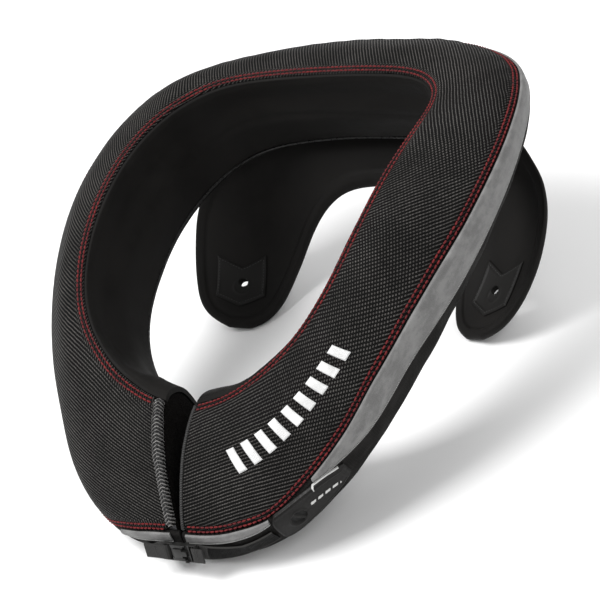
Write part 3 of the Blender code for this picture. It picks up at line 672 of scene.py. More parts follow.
def plastic_look():
    """Black moulded acetal, finely textured, with scuffed edges."""
    look = Look("moulded_acetal", (0.012, 0.012, 0.012), 0.36, 0.25)
    spot = look.place()
    texture = look.noise(spot, 2400.0, 3.0, 0.6)
    scuff = look.noise(spot, 260.0, 4.0, 0.7)
    base = look.over((0.012, 0.012, 0.0115), (0.034, 0.033, 0.032), scuff, 0.52, 0.74)
    return look.finish(base, look.span(scuff, 0.3, 0.7, 0.28, 0.46), texture, 0.03, 0.4)


def foam_look():
    look = Look("closed_cell_foam", (0.06, 0.06, 0.065), 0.9)
    cells = look.noise(look.place(), 900.0, 3.0, 0.7)
    base = look.over((0.035, 0.035, 0.04), (0.085, 0.085, 0.09), cells, 0.35, 0.65)
    return look.finish(base, look.span(cells, 0.3, 0.7, 0.95, 0.82), cells, 0.3, 0.6)


def thread_look(name, dark, pale, roughness, pitch=0.5):
    """Sewing thread: a tight twist that catches the light."""
    look = Look(name, dark, roughness, 0.2)
    spot, u, v, edge = look.laid()
    twist = look.math("COSINE", look.plus(look.times(u, 2 * math.pi / pitch), v))
    tone = look.noise(look.place(), 130.0, 2.0, 0.6)
    base = look.over(look.over(dark, pale, twist, -0.7, 0.8), pale, tone, 0.35, 0.7)
    rough = look.span(tone, 0.3, 0.7, roughness - 0.08, roughness + 0.1)
    return look.finish(base, rough, twist, 0.05, 0.6)


def floor_look():
    look = Look("pale_floor", (0.86, 0.86, 0.86), 0.65)
    tone = look.noise(look.place(), 3.0, 2.0)
    return look.finish(look.mix(tone, (0.85, 0.85, 0.85), (0.88, 0.88, 0.88)), 0.65)


LOOKS = {
    "nylon": nylon_look(),
    "wall": neoprene_look("wall_neoprene", (0.0056, 0.0051, 0.0047)),
    "yoke": neoprene_look("yoke_neoprene", (0.0062, 0.0057, 0.0053), 1.15),
    "knit": knit_look(),
    "fleece": fleece_look(),
    "bead_cloth": reflective_look(),
    # The binding's pale colour is a painted highlight on its braided strands.
    "binding": cord_look("binding_braid", (0.0016, 0.0016, 0.0016), (0.170, 0.164, 0.158), 1.5, 0.24),
    "piping": cord_look("edge_piping", (0.006, 0.0058, 0.0056), (0.040, 0.039, 0.038), 0.9, 0.5),
    "strip_piping": cord_look("strip_piping", (0.16, 0.16, 0.157), (0.42, 0.42, 0.41), 0.7, 0.45),
    "foot_piping": cord_look("foot_piping", (0.002, 0.002, 0.002), (0.022, 0.021, 0.020), 0.8, 0.30),
    "patch": rubber_look("patch_rubber", (0.0058, 0.0054, 0.0050), 0.5),
    "plastic": plastic_look(),
    "webbing": webbing_look(),
    "tab": rubber_look("tab_rubber", (0.0060, 0.0056, 0.0052), 0.45),
    "foam": foam_look(),
    "red_thread": thread_look("red_thread", (0.026, 0.002, 0.005), (0.15, 0.014, 0.015), 0.6),
    "grey_thread": thread_look("grey_thread", (0.012, 0.012, 0.012), (0.05, 0.05, 0.049), 0.5),
    "white_thread": thread_look("white_satin", (0.42, 0.42, 0.42), (0.74, 0.74, 0.735), 0.35, 0.42),
}


def add_piece(item, *nodes, slot=None, fill=None):
    """Fastens a piece to the model, in place of the nodes that it stands for."""
    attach(item, "root")
    if nodes:
        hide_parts(*nodes)
    return item


def flat_pattern():
    """How the top cloth lies before it is sewn: each place's middle, and its heading."""
    places = np.linspace(0, RIGHT_END, 700)
    sections = [Section(p) for p in places]
    middle = np.array([s.point(MIDDLE_KNOT) for s in sections])
    across = np.array([s.point(2.4) - s.point(0.8) for s in sections])
    across /= np.linalg.norm(across, axis=1, keepdims=True)
    ahead = np.gradient(middle, axis=0)
    length = np.linalg.norm(ahead, axis=1)
    ahead /= length[:, None]
    heading = np.cumsum((np.gradient(ahead, axis=0) * across).sum(1))
    heading = heading - np.interp(1.0, places, heading) - GRAIN_TURN
    x = np.cumsum(np.cos(heading) * length)
    y = np.cumsum(np.sin(heading) * length)
    return lambda p: [np.interp(p, places, column) for column in (x, y, heading)]


def laid_grids(places, knots_at, out_at, inside):
    """A sheet on the outline: its outer and inner points, and each point's length along the
    collar and distances from both edges."""
    outer, inner, near = [], [], []
    for place in places:
        section = Section(place)
        line = knots_at(place)
        gone = chord_lengths(section.point(line))
        outer.append(section.point(line, out_at(place, gone, gone[-1] - gone)))
        inner.append(section.point(line, np.full(len(line), inside)))
        near.append(gone)
    near = np.array(near)
    along = np.repeat(places[:, None] * HALF_LENGTH, near.shape[1], axis=1)
    return np.array(outer), np.array(inner), along, near, near[:, -1:] - near


def plain_sheet(name, places, knots_at, out_at, inside, look):
    """A sheet on the outline whose pattern runs along the collar."""
    outer, inner, along, near, far = laid_grids(places, knots_at, out_at, inside)
    grain = np.stack([along, near, np.minimum(near, far)], -1)
    return sheet_mesh(name, outer, inner, grain, LOOKS[look])


def seam_at(place):
    """The outer seam's knot at a place."""
    near = place + SEAM_EASE * np.linspace(-1, 1, 7)
    return OUTER_SEAM + np.interp(near, SEAM_PLACES, SEAM_SHIFTS).mean()


def build_top_cover():
    swell = waves(3, 7, 24.0, 70.0)
    pucker = waves(5, 9, 2.6, 7.0)
    ripple = waves(8, 5, 6.0, 11.0)

    def out(place, inner_edge, outer_edge):
        u = place * HALF_LENGTH
        rolled = -0.8 * bell(inner_edge, 0.7) - 0.9 * bell(outer_edge, 0.45)
        sewn = sum(bell(inner_edge - d, 0.75) for d in INNER_ROWS)
        sewn = sewn + sum(bell(outer_edge - d, 0.75) for d in OUTER_ROWS)
        drawn = bell(inner_edge, 6.0) + bell(outer_edge, 6.0)
        back = ramp(place, 0.52, 0.72) * ramp(2 - place, 0.6, 0.8)
        folds = 0.5 * back * bell(outer_edge - 3.0, 6.0) * ripple(u, 0.25 * outer_edge)
        return (rolled - 0.34 * sewn + 0.13 * drawn * pucker(u, inner_edge) + folds
                + 0.30 * swell(u, inner_edge) * ramp(inner_edge, 1, 9) * ramp(outer_edge, 1, 9))

    def knots(place):
        return SEAM + (seam_at(place) - 2 * SEAM) * denser_ends(58, 0.72)

    first = step(2 * PIPING_RADIUS + GAP)
    places = np.linspace(first, RIGHT_END - step(2 * BINDING_RADIUS + 3 * GAP), 560)
    outer, inner, along, near, far = laid_grids(places, knots, out, -COVER)
    x, y, heading = (np.asarray(c)[:, None] for c in flat_pattern()(places))
    middle = [np.interp(MIDDLE_KNOT, knots(place), row) for place, row in zip(places, near)]
    offset = near - np.array(middle)[:, None]
    # The third value: which diagonal is painted lit here, plus 2 near the stitched rows, where
    # nylon_look paints the floats darker as painted shade in the seams' dents.
    sewn = bell(near - np.mean(INNER_ROWS), 2.2) + bell(far - np.mean(OUTER_ROWS), 2.2)
    lit_diagonal_and_seam_shade = np.interp(places, LIT_DIAGONAL_PLACES, LIT_DIAGONAL)[:, None] + 2 * sewn
    grain = np.stack([x - np.sin(heading) * offset, y + np.cos(heading) * offset, lit_diagonal_and_seam_shade], -1)
    item = sheet_mesh("top_nylon", outer, inner, grain, LOOKS["nylon"])
    return add_piece(item, "top_cover", slot="nylon", fill=0.7)


def build_inner_wall():
    swell = waves(11, 6, 30.0, 90.0)
    fine = waves(12, 6, 5.0, 14.0)

    def out(place, foot_edge, seam_edge):
        u = place * HALF_LENGTH
        crease = ramp(place, 0.72, 0.84) * ramp(2 - place, 0.62, 0.78)
        line = 0.52 * (foot_edge + seam_edge) + 1.3 * np.sin(u / 21.0)
        back = crease * (0.55 * bell(seam_edge - line, 1.1) - 0.35 * bell(seam_edge - line - 3.4, 3.0))
        rolled = -0.7 * bell(foot_edge, 0.8) - 0.9 * bell(seam_edge, 0.9)
        sewn = -0.25 * bell(seam_edge - 2.2, 1.2)
        return (rolled + sewn - back + 0.28 * swell(u, seam_edge)
                + 0.06 * fine(u, seam_edge) * bell(seam_edge, 9.0))

    def knots(place):
        return WALL_FOOT + SEAM + (SECTION_KNOTS - WALL_FOOT - 2 * SEAM) * denser_ends(54, 0.6)

    item = plain_sheet("wall_neoprene", COVER_PLACES, knots, out, -COVER, "wall")
    return add_piece(item, "inner_wall", slot="neoprene", fill=0.7)


def build_base_cover():
    swell = waves(21, 7, 16.0, 60.0)
    fine = waves(22, 6, 5.0, 12.0)

    def out(place, seam_edge, foot_edge):
        u = place * HALF_LENGTH
        rolled = -0.8 * bell(seam_edge, 0.8) - 0.6 * bell(foot_edge, 0.8)
        slack = ramp(seam_edge, 8, 18) * ramp(foot_edge, 1, 6)
        return rolled + 0.22 * slack * swell(u, seam_edge) + 0.05 * slack * fine(u, seam_edge)

    def knots(place):
        first = seam_at(place) + SEAM
        return first + (WALL_FOOT - SEAM - first) * denser_ends(56, 0.5)

    item = plain_sheet("base_knit", COVER_PLACES, knots, out, -COVER, "knit")
    return add_piece(item, "base_cover", slot="base_fabric", fill=0.7)


def build_core():
    places = np.linspace(step(END_PANEL + GAP), RIGHT_END - step(END_PANEL + GAP), 150)
    knots = np.arange(0, SECTION_KNOTS, 0.25)
    rings = np.array([Section(p).point(knots, np.full(len(knots), -COVER - 0.9)) for p in places])
    return add_piece(tube_mesh("foam_core", rings, LOOKS["foam"]), "padding", slot="foam", fill=1.0)


def build_end_panels():
    """The brushed ends of the collar: a low dome inside the covers' edges."""
    knots = np.arange(0, SECTION_KNOTS, 0.125)
    tuft = waves(31, 14, 1.6, 5.0)
    for side, turn in (("left", from_left), ("right", from_right)):
        rings = [Section(turn(step(depth))).point(knots, np.full(len(knots), -COVER - 0.5))
                 for depth in (2.1, 1.2, 0.5)]
        edge = rings[-1]
        centre = edge.mean(0)
        ahead = np.cross(edge[20] - centre, edge[44] - centre)
        ahead /= np.linalg.norm(ahead)
        if (rings[-1].mean(0) - rings[0].mean(0)) @ ahead < 0:
            ahead = -ahead
        for share in np.linspace(0.03, 0.985, 34):
            ring = edge + (centre - edge) * share
            rise = 0.45 * ramp(share, 0.0, 0.12) + 0.5 * ramp(share, 0.1, 0.6)
            rough = 0.22 * tuft(ring[:, 1], ring[:, 2]) * ramp(share, 0, 0.08)
            rings.append(ring + ahead * (rise + rough)[:, None])
        item = tube_mesh("end_fleece_" + side, np.array(rings), LOOKS["fleece"])
        add_piece(item, "end_panel_" + side, slot="fleece", fill=0.9)


def band_edges(bands):
    return smooth_spline([b.place for b in bands], [(b.top, b.bottom) for b in bands])


def from_left(place):
    return place


def from_right(place):
    return RIGHT_END - place


def across_nape(place):
    return 2 - place


def build_strips():
    """Reflective bands along the outer seam, each with a piped lower edge."""
    crease = waves(41, 8, 9.0, 30.0)

    def out(place, gone, left):
        thin = STRIP_THICKNESS * (1 - 0.75 * bell(gone, 0.35) - 0.6 * bell(left, 0.3))
        soft = 0.14 * crease(place * HALF_LENGTH, gone) * ramp(gone, 0, 3) * ramp(left, 0, 3)
        return GAP + thin + soft

    for name, bands, turn in (("front_strip_left", FRONT_STRIP_LEFT, from_left),
                              ("front_strip_right", FRONT_STRIP_RIGHT, from_right),
                              ("side_strip_left", SIDE_STRIP, from_left),
                              ("side_strip_right", SIDE_STRIP, across_nape)):
        edges = band_edges(bands)

        def knots(place):
            top = seam_at(place) + STRIP_INSET
            bottom = edges(turn(place))[1] + max(0.0, seam_at(place) - OUTER_SEAM)
            return np.linspace(top, max(bottom, top + NARROWEST_STRIP), 22)

        first, last = sorted(turn(b.place) for b in (bands[0], bands[-1]))
        places = np.linspace(first, last, max(40, int((last - first) * HALF_LENGTH / 1.3)))
        item = plain_sheet(name + "_cloth", places, knots, out, GAP, "bead_cloth")
        add_piece(item, name, slot="reflective")
        lower = [Section(p).point(knots(p)[-1] + 0.012, GAP + 0.45) for p in places]
        cord = tube_along(name + "_piping", resampled(lower, 1.0), lambda s, a: 0.30 + 0 * s * a, 8,
                          LOOKS["strip_piping"])
        add_piece(cord, slot="reflective")


def build_binding():
    """The gathered roll that binds the slanted end, and the thin piping of the other end."""
    section = Section(RIGHT_END - step(BINDING_RADIUS))
    knots = np.linspace(*BINDING_KNOTS, 400)
    path = resampled(section.point(knots, np.full(400, BINDING_RADIUS - COVER)), 0.2)
    swell = waves(51, 5, 7.0, 16.0)
    pleat = waves(52, 5, 2.0, 5.0)

    def lean(a):
        return np.abs(((a / math.pi + 0.35) % 1.0) - 0.5) * 2

    def radius(s, a):
        ends = ramp(s, 0, 1.6) * ramp(s.max() - s, 0, 1.6)
        strand = np.cos(2 * math.pi * (s / 1.5 - 1.1 * lean(a)))
        thick = 0.42 * bell(s - 0.36 * s.max(), 0.26 * s.max()) - 0.16
        body = BINDING_RADIUS + thick + 0.14 * swell(s, 0) + 0.10 * pleat(s, 3 * np.cos(a))
        return (body + 0.17 * strand) * (0.80 + 0.20 * ends)

    item = tube_along("binding_roll", path, radius, 28, LOOKS["binding"], up=np.array([1.0, 0, 0]),
                      turn_of=lambda a: -1.1 * math.pi * lean(a))
    add_piece(item, "end_binding", slot="binding")

    section = Section(step(PIPING_RADIUS))
    knots = np.linspace(*PIPING_KNOTS, 300)
    path = resampled(section.point(knots, np.full(300, GAP - PIPING_RADIUS)), 0.3)
    item = tube_along("piping_roll", path, lambda s, a: PIPING_RADIUS - 0.05
                      + 0.04 * np.cos(2 * math.pi * s / 1.2 + a), 14, LOOKS["piping"],
                      up=np.array([1.0, 0, 0]))
    add_piece(item, "end_piping", slot="base_fabric")

    places = np.linspace(0.01, RIGHT_END - 0.01, 500)
    path = np.array([Section(p).point(WALL_FOOT, -0.1) for p in places])
    item = tube_along("foot_piping", resampled(path, 1.2), lambda s, a: 0.62 + 0.03 * np.cos(s * 3), 10,
                      LOOKS["foot_piping"])
    add_piece(item, slot="neoprene")


def stitch_rows(name, paths, look, pitch, length, radius, lift):
    """Short arched stitches along paths of (point, normal), as one piece."""
    rings, sides = 6, 6
    angle = 2 * math.pi * np.arange(sides) / sides
    share = np.linspace(0, 1, rings)
    arch = lift * (np.sin(math.pi * share) ** 0.6) - 0.32 * radius
    thick = radius * (0.62 + 0.38 * np.sin(math.pi * share) ** 0.5)
    points, faces, grain = [], [], []
    draw = np.random.RandomState(61)
    for path, normals in paths:
        lengths = chord_lengths(path)
        for start in np.arange(0.4, lengths[-1] - length, pitch):
            at = start + draw.uniform(-0.08, 0.08) + length * share
            spots, up = (np.stack([np.interp(at, lengths, row[:, i]) for i in range(3)], 1)
                         for row in (path, normals))
            up /= np.linalg.norm(up, axis=1, keepdims=True)
            ahead = np.gradient(spots, axis=0)
            ahead /= np.linalg.norm(ahead, axis=1, keepdims=True)
            side = np.cross(ahead, up)
            lean = draw.uniform(-0.10, 0.10) * (share - 0.5) * 2
            middle = spots + up * arch[:, None] + side * lean[:, None]
            ring = side[:, None] * np.cos(angle)[:, None] + up[:, None] * np.sin(angle)[:, None]
            base = len(points) * rings * sides
            points.append(middle[:, None] + thick[:, None, None] * ring)
            grain.append(np.stack(np.broadcast_arrays(at[:, None], angle, share[:, None]), -1))
            faces += ring_faces(rings, sides, base)
            faces.append(tuple(range(base, base + sides))[::-1])
            faces.append(tuple(range(base + (rings - 1) * sides, base + rings * sides)))
    points, grain = (np.array(grid).reshape(-1, 3) for grid in (points, grain))
    return make_object(name, points, faces, look, grain)


def path_at_distance(places, edge_at, far_knot, distance, out):
    """A path on the outline at a distance from an edge, with the outline's normals."""
    spots, normals = [], []
    for place in places:
        section = Section(place)
        line = np.linspace(edge_at(place), far_knot, 60)
        knot = np.interp(distance, chord_lengths(section.point(line)), line)
        spot = section.point(knot, out)
        spots.append(spot)
        normals.append(section.point(knot, out + 1.0) - spot)
    return np.array(spots), np.array(normals)


def build_stitches():
    places = np.linspace(step(2.6), RIGHT_END - step(5.6), 640)
    for name, edge_at, far_knot, rows in (
            ("inner", lambda p: SEAM, 1.5, INNER_ROWS),
            ("outer", lambda p: seam_at(p) - SEAM, 1.8, OUTER_ROWS)):
        paths = [path_at_distance(places, edge_at, far_knot, d, STITCH_SINK) for d in rows]
        add_piece(stitch_rows(f"stitches_{name}_seam", paths, LOOKS["red_thread"], STITCH_PITCH,
                              STITCH_LENGTH, STITCH_RADIUS, STITCH_LIFT))


class YokeSurface:
    """The height of the yoke's face, which is sewn to the collar's base at the back."""

    def __init__(self, base):
        self.profile = smooth_spline([y for y, z in YOKE_DROPS], [z for y, z in YOKE_DROPS])
        mesh = bmesh.new()
        mesh.from_mesh(base.data)
        mesh.transform(TO_FLOOR.inverted())
        self.base = BVHTree.FromBMesh(mesh)
        mesh.free()

    def top(self, x, y):
        curl = max(0.0, (abs(x) - YOKE_CURL_START) / YOKE_CURL_REACH) ** 2 * YOKE_CURL
        free = float(self.profile(y)) + curl
        joined = float(ramp(y, *YOKE_JOIN))
        hit = self.base.ray_cast(Vector((x, y, -200.0)), Vector((0, 0, 1)))[0]
        if hit is None:
            return free
        seat = hit.z - YOKE_SEAM - RIM_HEIGHT
        return min(free + (seat - free) * joined, seat)


def sway(x, y):
    share = np.clip((YOKE_SWAY_START - y) / YOKE_SWAY_REACH, 0, 1)
    return x - YOKE_SWAY * share


def mirrored_spline(rows, flipped):
    lengths = chord_lengths([row[:2] for row in rows])
    places = lengths / lengths[-1]
    other = [mirrored(row, flipped) for row in rows[-2::-1]]
    return smooth_spline(np.concatenate([places, 2 - places[-2::-1]]), list(rows) + other)


def edge_profile(distance):
    """How far each face of the yoke stands off its middle, by the distance from the edge."""
    rounded = np.sqrt(np.clip(1 - (1 - np.clip(distance / 1.7, 0, 1)) ** 2, 0, 1))
    rim = (SHEET / 2 + RIM_HEIGHT) * rounded
    groove = (RIM_HEIGHT + 0.25) * ramp(distance, 3.6, 4.9) - 0.25 * ramp(distance, 5.0, 7.2)
    return rim - groove


def build_yoke(surface):
    """The rear sheet with its soft rim, the pressed groove inside it, and two tongues."""
    edge = mirrored_spline(YOKE_ROWS, flipped={0, 2})
    ends = np.array([0, 0.0015, 0.004, 0.008, 0.013, 0.020, 0.028, 0.037, 0.047])
    rows = np.concatenate([ends, np.linspace(0.06, 1.94, 190), (2 - ends)[::-1]])
    near = np.array([0, 0.12, 0.4, 0.8, 1.3, 1.9, 2.6, 3.3, 3.9, 4.4, 4.9, 5.6, 6.6])
    plan = []
    for place in rows:
        a, b = edge(place)[0:2], edge(place)[2:4]
        width = np.linalg.norm(b - a)
        reach = near * min(1.0, 0.46 * width / near[-1])
        middle = np.linspace(reach[-1], width - reach[-1], 22)[1:-1]
        line = np.concatenate([reach, middle, (width - reach)[::-1]]) / width
        plan.append(a + (b - a) * line[:, None])
    plan = np.array(plan)
    loop = np.concatenate([plan[:, 0], plan[-1, 1:], plan[::-1, -1][1:], plan[0, ::-1][1:-1]])
    start, end = loop, np.roll(loop, -1, axis=0)
    flat = plan.reshape(-1, 2)
    nearest = np.full(len(flat), 1e9)
    for a, b in zip(start, end):
        along = b - a
        share = np.clip(((flat - a) @ along) / max(along @ along, 1e-12), 0, 1)
        nearest = np.minimum(nearest, np.linalg.norm(flat - a - share[:, None] * along, axis=1))
    top = np.array([surface.top(x, y) for x, y in flat])
    soft = waves(71, 6, 22.0, 60.0)
    face = edge_profile(nearest)
    swell = 0.25 * soft(flat[:, 0], flat[:, 1]) * ramp(nearest, 4, 12)
    middle = top - SHEET / 2
    x = sway(flat[:, 0], flat[:, 1])
    shape = plan.shape[:2]
    upper = np.stack([x, flat[:, 1], middle + face + np.minimum(swell, 0)], -1).reshape(*shape, 3)
    eyelet = np.hypot(np.abs(flat[:, 0]) - PATCH_CENTRE[0], flat[:, 1] - PATCH_CENTRE[1])
    under = middle - face * (1 - 1.3 * bell(eyelet, 4.5)) + np.maximum(swell, 0)
    lower = np.stack([x, flat[:, 1], under], -1).reshape(*shape, 3)
    grain = np.stack([flat[:, 0], flat[:, 1], nearest], -1).reshape(*shape, 3)
    item = sheet_mesh("yoke_neoprene", upper, lower, grain, LOOKS["yoke"])
    made = bmesh.new()
    made.from_mesh(item.data)
    bmesh.ops.remove_doubles(made, verts=made.verts, dist=1e-6)
    made.to_mesh(item.data)
    made.free()
    punch(item)
    return add_piece(item, "yoke", slot="neoprene", fill=1.0)


def evaluated(item):
    """Gives a piece the mesh that its modifiers make of it."""
    bpy.context.view_layer.update()
    item.data = bpy.data.meshes.new_from_object(
        item.evaluated_get(bpy.context.evaluated_depsgraph_get()))
    item.modifiers.clear()
    return item.data


def combine(item, other, operation):
    """Joins another solid to a piece, or cuts it out, and takes it away."""
    change = item.modifiers.new("change", "BOOLEAN")
    change.object = other
    change.operation = operation
    change.solver = "EXACT"
    evaluated(item)
    bpy.data.objects.remove(other, do_unlink=True)


def punch(item):
    """Cuts the eyelets of both tongues through a piece."""
    angle = np.linspace(0, 2 * math.pi, 40, endpoint=False)
    for sign in (1.0, -1.0):
        x, y = sway(sign * PATCH_CENTRE[0], PATCH_CENTRE[1]), PATCH_CENTRE[1]
        circle = np.stack([x + EYELET_RADIUS * np.cos(angle), y + EYELET_RADIUS * np.sin(angle)], -1)
        rings = np.array([np.c_[circle, np.full(40, z)] for z in (-120.0, -70.0)])
        combine(item, tube_mesh("cutter", rings, item.data.materials[0]), "DIFFERENCE")
    smooth_but_for_edges(item.data, 50)


def patch_plan(u, v):
    toward = np.array([-math.sin(PATCH_TURN), -math.cos(PATCH_TURN)])
    across = np.array([math.cos(PATCH_TURN), -math.sin(PATCH_TURN)])
    return np.array(PATCH_CENTRE) + across * u[..., None] + toward * v[..., None]


def build_patches(surface):
    """A chevron of rubber on each tongue, with a raised border and a ring round its eyelet."""
    across = np.linspace(-1, 1, 61)
    down = np.linspace(0, 1, 51)
    share, depth = np.meshgrid(across, down)
    point = PATCH_POINT * (1 - np.abs(share))
    u = PATCH_HALF_WIDTH * share
    v = PATCH_BACK + point + (PATCH_FRONT - PATCH_BACK) * depth
    from_side = PATCH_HALF_WIDTH * (1 - np.abs(share))
    from_ends = 0.9 * (PATCH_FRONT - PATCH_BACK) * np.minimum(depth, 1 - depth)
    edge = np.minimum(from_side, from_ends)
    ring = np.hypot(u, v)
    height = PATCH * (0.25 + 0.75 * ramp(edge, 0, 0.7)) - 0.30 * ramp(edge, 1.5, 2.1)
    height = height + 0.22 * bell(ring - 3.6, 0.6)
    for side, sign in (("left", 1.0), ("right", -1.0)):
        plan = patch_plan(u, v)
        top = np.array([[surface.top(sign * x, y) for x, y in row] for row in plan])
        x = sway(sign * plan[..., 0], plan[..., 1])
        outer = np.stack([x, plan[..., 1], top + GAP + height], -1)
        inner = np.stack([x, plan[..., 1], top + GAP + 0 * height], -1)
        # The third value is the relief's height, so rubber_look paints the raised border and the ring
        # round the eyelet lighter as painted highlights.
        grain = np.stack([u, v, height / 1.1], -1)
        item = sheet_mesh("patch_rubber_" + side, outer, inner, grain, LOOKS["patch"])
        punch(item)
        add_piece(item, "patch_" + side, slot="patch_rubber")
        loop = [(-1, 0.07), (-1, 0.93), (0, 0.93), (1, 0.93), (1, 0.07), (0, 0.07), (-1, 0.07)]
        spots = []
        for (s0, t0), (s1, t1) in zip(loop, loop[1:]):
            for f in np.linspace(0, 1, 16, endpoint=False):
                s, t = 0.90 * (s0 + (s1 - s0) * f), t0 + (t1 - t0) * f
                at = patch_plan(np.array(PATCH_HALF_WIDTH * s), np.array(
                    PATCH_BACK + PATCH_POINT * (1 - abs(s)) + (PATCH_FRONT - PATCH_BACK) * t))
                z = surface.top(sign * at[0], at[1]) + GAP + PATCH - 0.12
                spots.append((float(sway(sign * at[0], at[1])), at[1], z))
        path = resampled(spots, 0.4)
        normals = np.tile([0.0, 0.0, 1.0], (len(path), 1))
        item = stitch_rows("stitches_patch_" + side, [(path, normals)], LOOKS["grey_thread"],
                           1.5, 1.0, 0.17, 0.12)
        add_piece(item)


def build_motif():
    """Plain slanted bars of white satin stitch across the left front of the top face."""
    pitch = (MOTIF_END - MOTIF_START) / MOTIF_BARS
    a, c = np.meshgrid(np.linspace(0, 1, 16), np.linspace(0, 1, 36), indexing="ij")
    knots = MOTIF_KNOTS[0] + (MOTIF_KNOTS[1] - MOTIF_KNOTS[0]) * c
    side = np.minimum(a, 1 - a) * pitch * MOTIF_WIDTH * HALF_LENGTH
    dome = ramp(np.minimum(side, np.minimum(c, 1 - c) * MOTIF_HEIGHT), 0, 0.5)
    out = 0.10 + dome * (0.50 + 0.05 * np.cos(2 * math.pi * c * MOTIF_HEIGHT / 0.42))
    laid = np.stack([c * MOTIF_HEIGHT, a * 0, side], -1).reshape(-1, 3)
    points, faces = [], []
    for n in range(MOTIF_BARS):
        faces += sheet_faces(*a.shape, start=len(points))
        place = MOTIF_START + pitch * (n + MOTIF_WIDTH * a + MOTIF_SLANT * c)
        for layer in (out, np.full(out.shape, -0.15)):
            points += [Section(p).point(k, o)
                       for p, k, o in zip(place.ravel(), knots.ravel(), layer.ravel())]
    item = make_object("satin_bars", points, faces, LOOKS["white_thread"],
                       np.tile(laid, (2 * MOTIF_BARS, 1)))
    return add_piece(item)


def rounded_block(name, parts, bevel, node):
    """Boxes joined or cut by one another, with rounded edges, set in the buckle's place."""
    item = None
    for operation, size, centre in parts:
        made = bmesh.new()
        bmesh.ops.create_cube(made, size=1.0)
        bmesh.ops.transform(made, matrix=Matrix.Diagonal((*size, 1.0)), verts=made.verts)
        bmesh.ops.translate(made, vec=Vector(centre), verts=made.verts)
        mesh = bpy.data.meshes.new(name)
        made.to_mesh(mesh)
        made.free()
        block = into_scene(name, mesh)
        if item is None:
            item = block
        else:
            combine(item, block, operation)
    rounding = item.modifiers.new("rounding", "BEVEL")
    rounding.width = bevel
    rounding.segments = 3
    rounding.limit_method = "ANGLE"
    rounding.angle_limit = math.radians(40)
    result = evaluated(item)
    item.name = result.name = name
    result.materials.clear()
    result.materials.append(LOOKS["plastic"])
    result.transform(TO_FLOOR @ BUCKLE_SEAT)
    smooth_but_for_edges(result, 40)
    return add_piece(item, node, slot="plastic")


BUCKLE_SEAT = (Matrix.Translation(BUCKLE_CENTRE) @ Matrix.Rotation(BUCKLE_DIP, 4, "Y")
               @ Matrix.Rotation(BUCKLE_LEAN, 4, "X"))


def build_buckle():
    """A small side-release buckle, fastened: socket with a slotted bar, and pronged plug."""
    half = BODY_LENGTH / 2
    slot = FRAME_LENGTH - 2 * BAR
    tall = WEBBING_WIDTH + 2 * GAP
    frame_middle = half + FRAME_LENGTH / 2
    plug_middle = -half - GAP - FRAME_LENGTH / 2
    rounded_block("buckle_socket_shell", [
        ("", (BODY_LENGTH, BODY_DEPTH, BUCKLE_HEIGHT), (0, 0, 0)),
        ("UNION", (FRAME_LENGTH + 1, FRAME_DEPTH, BUCKLE_HEIGHT), (frame_middle - 0.5, 0, 0)),
        ("DIFFERENCE", (slot, 9, tall), (frame_middle, 0, 0)),
        ("DIFFERENCE", (7.2, 9, 3.9), (-half + 1.6, 0, 3.85)),
        ("DIFFERENCE", (7.2, 9, 3.9), (-half + 1.6, 0, -3.85)),
        ("DIFFERENCE", (3.2, 3.0, 2.3), (half - 0.9, -1.6, 2.2)),
        ("DIFFERENCE", (3.2, 3.0, 2.3), (half - 0.9, -1.6, -2.2)),
        ("DIFFERENCE", (1.0, 1.2, 1.0), (half + 0.1, -1.4, 1.5)),
        ("DIFFERENCE", (1.0, 1.2, 1.0), (half + 0.1, -1.4, -1.5)),
    ], 0.24, "buckle_socket")
    rounded_block("buckle_plug_fork", [
        ("", (FRAME_LENGTH, FRAME_DEPTH, BUCKLE_HEIGHT), (plug_middle, 0, 0)),
        ("DIFFERENCE", (slot, 9, tall), (plug_middle, 0, 0)),
        ("UNION", (6.4, 2.4, 1.3), (-half + 1.7, 0, 2.85)),
        ("UNION", (6.4, 2.4, 1.3), (-half + 1.7, 0, -2.85)),
    ], 0.22, "buckle_plug")
    build_strap("strap_left", half + FRAME_LENGTH - BAR, 1.0, 3.0, 0.072, 0.110)
    build_strap("strap_right", plug_middle - FRAME_LENGTH / 2 + BAR, -1.0, 9.0, 0.044, 0.054)


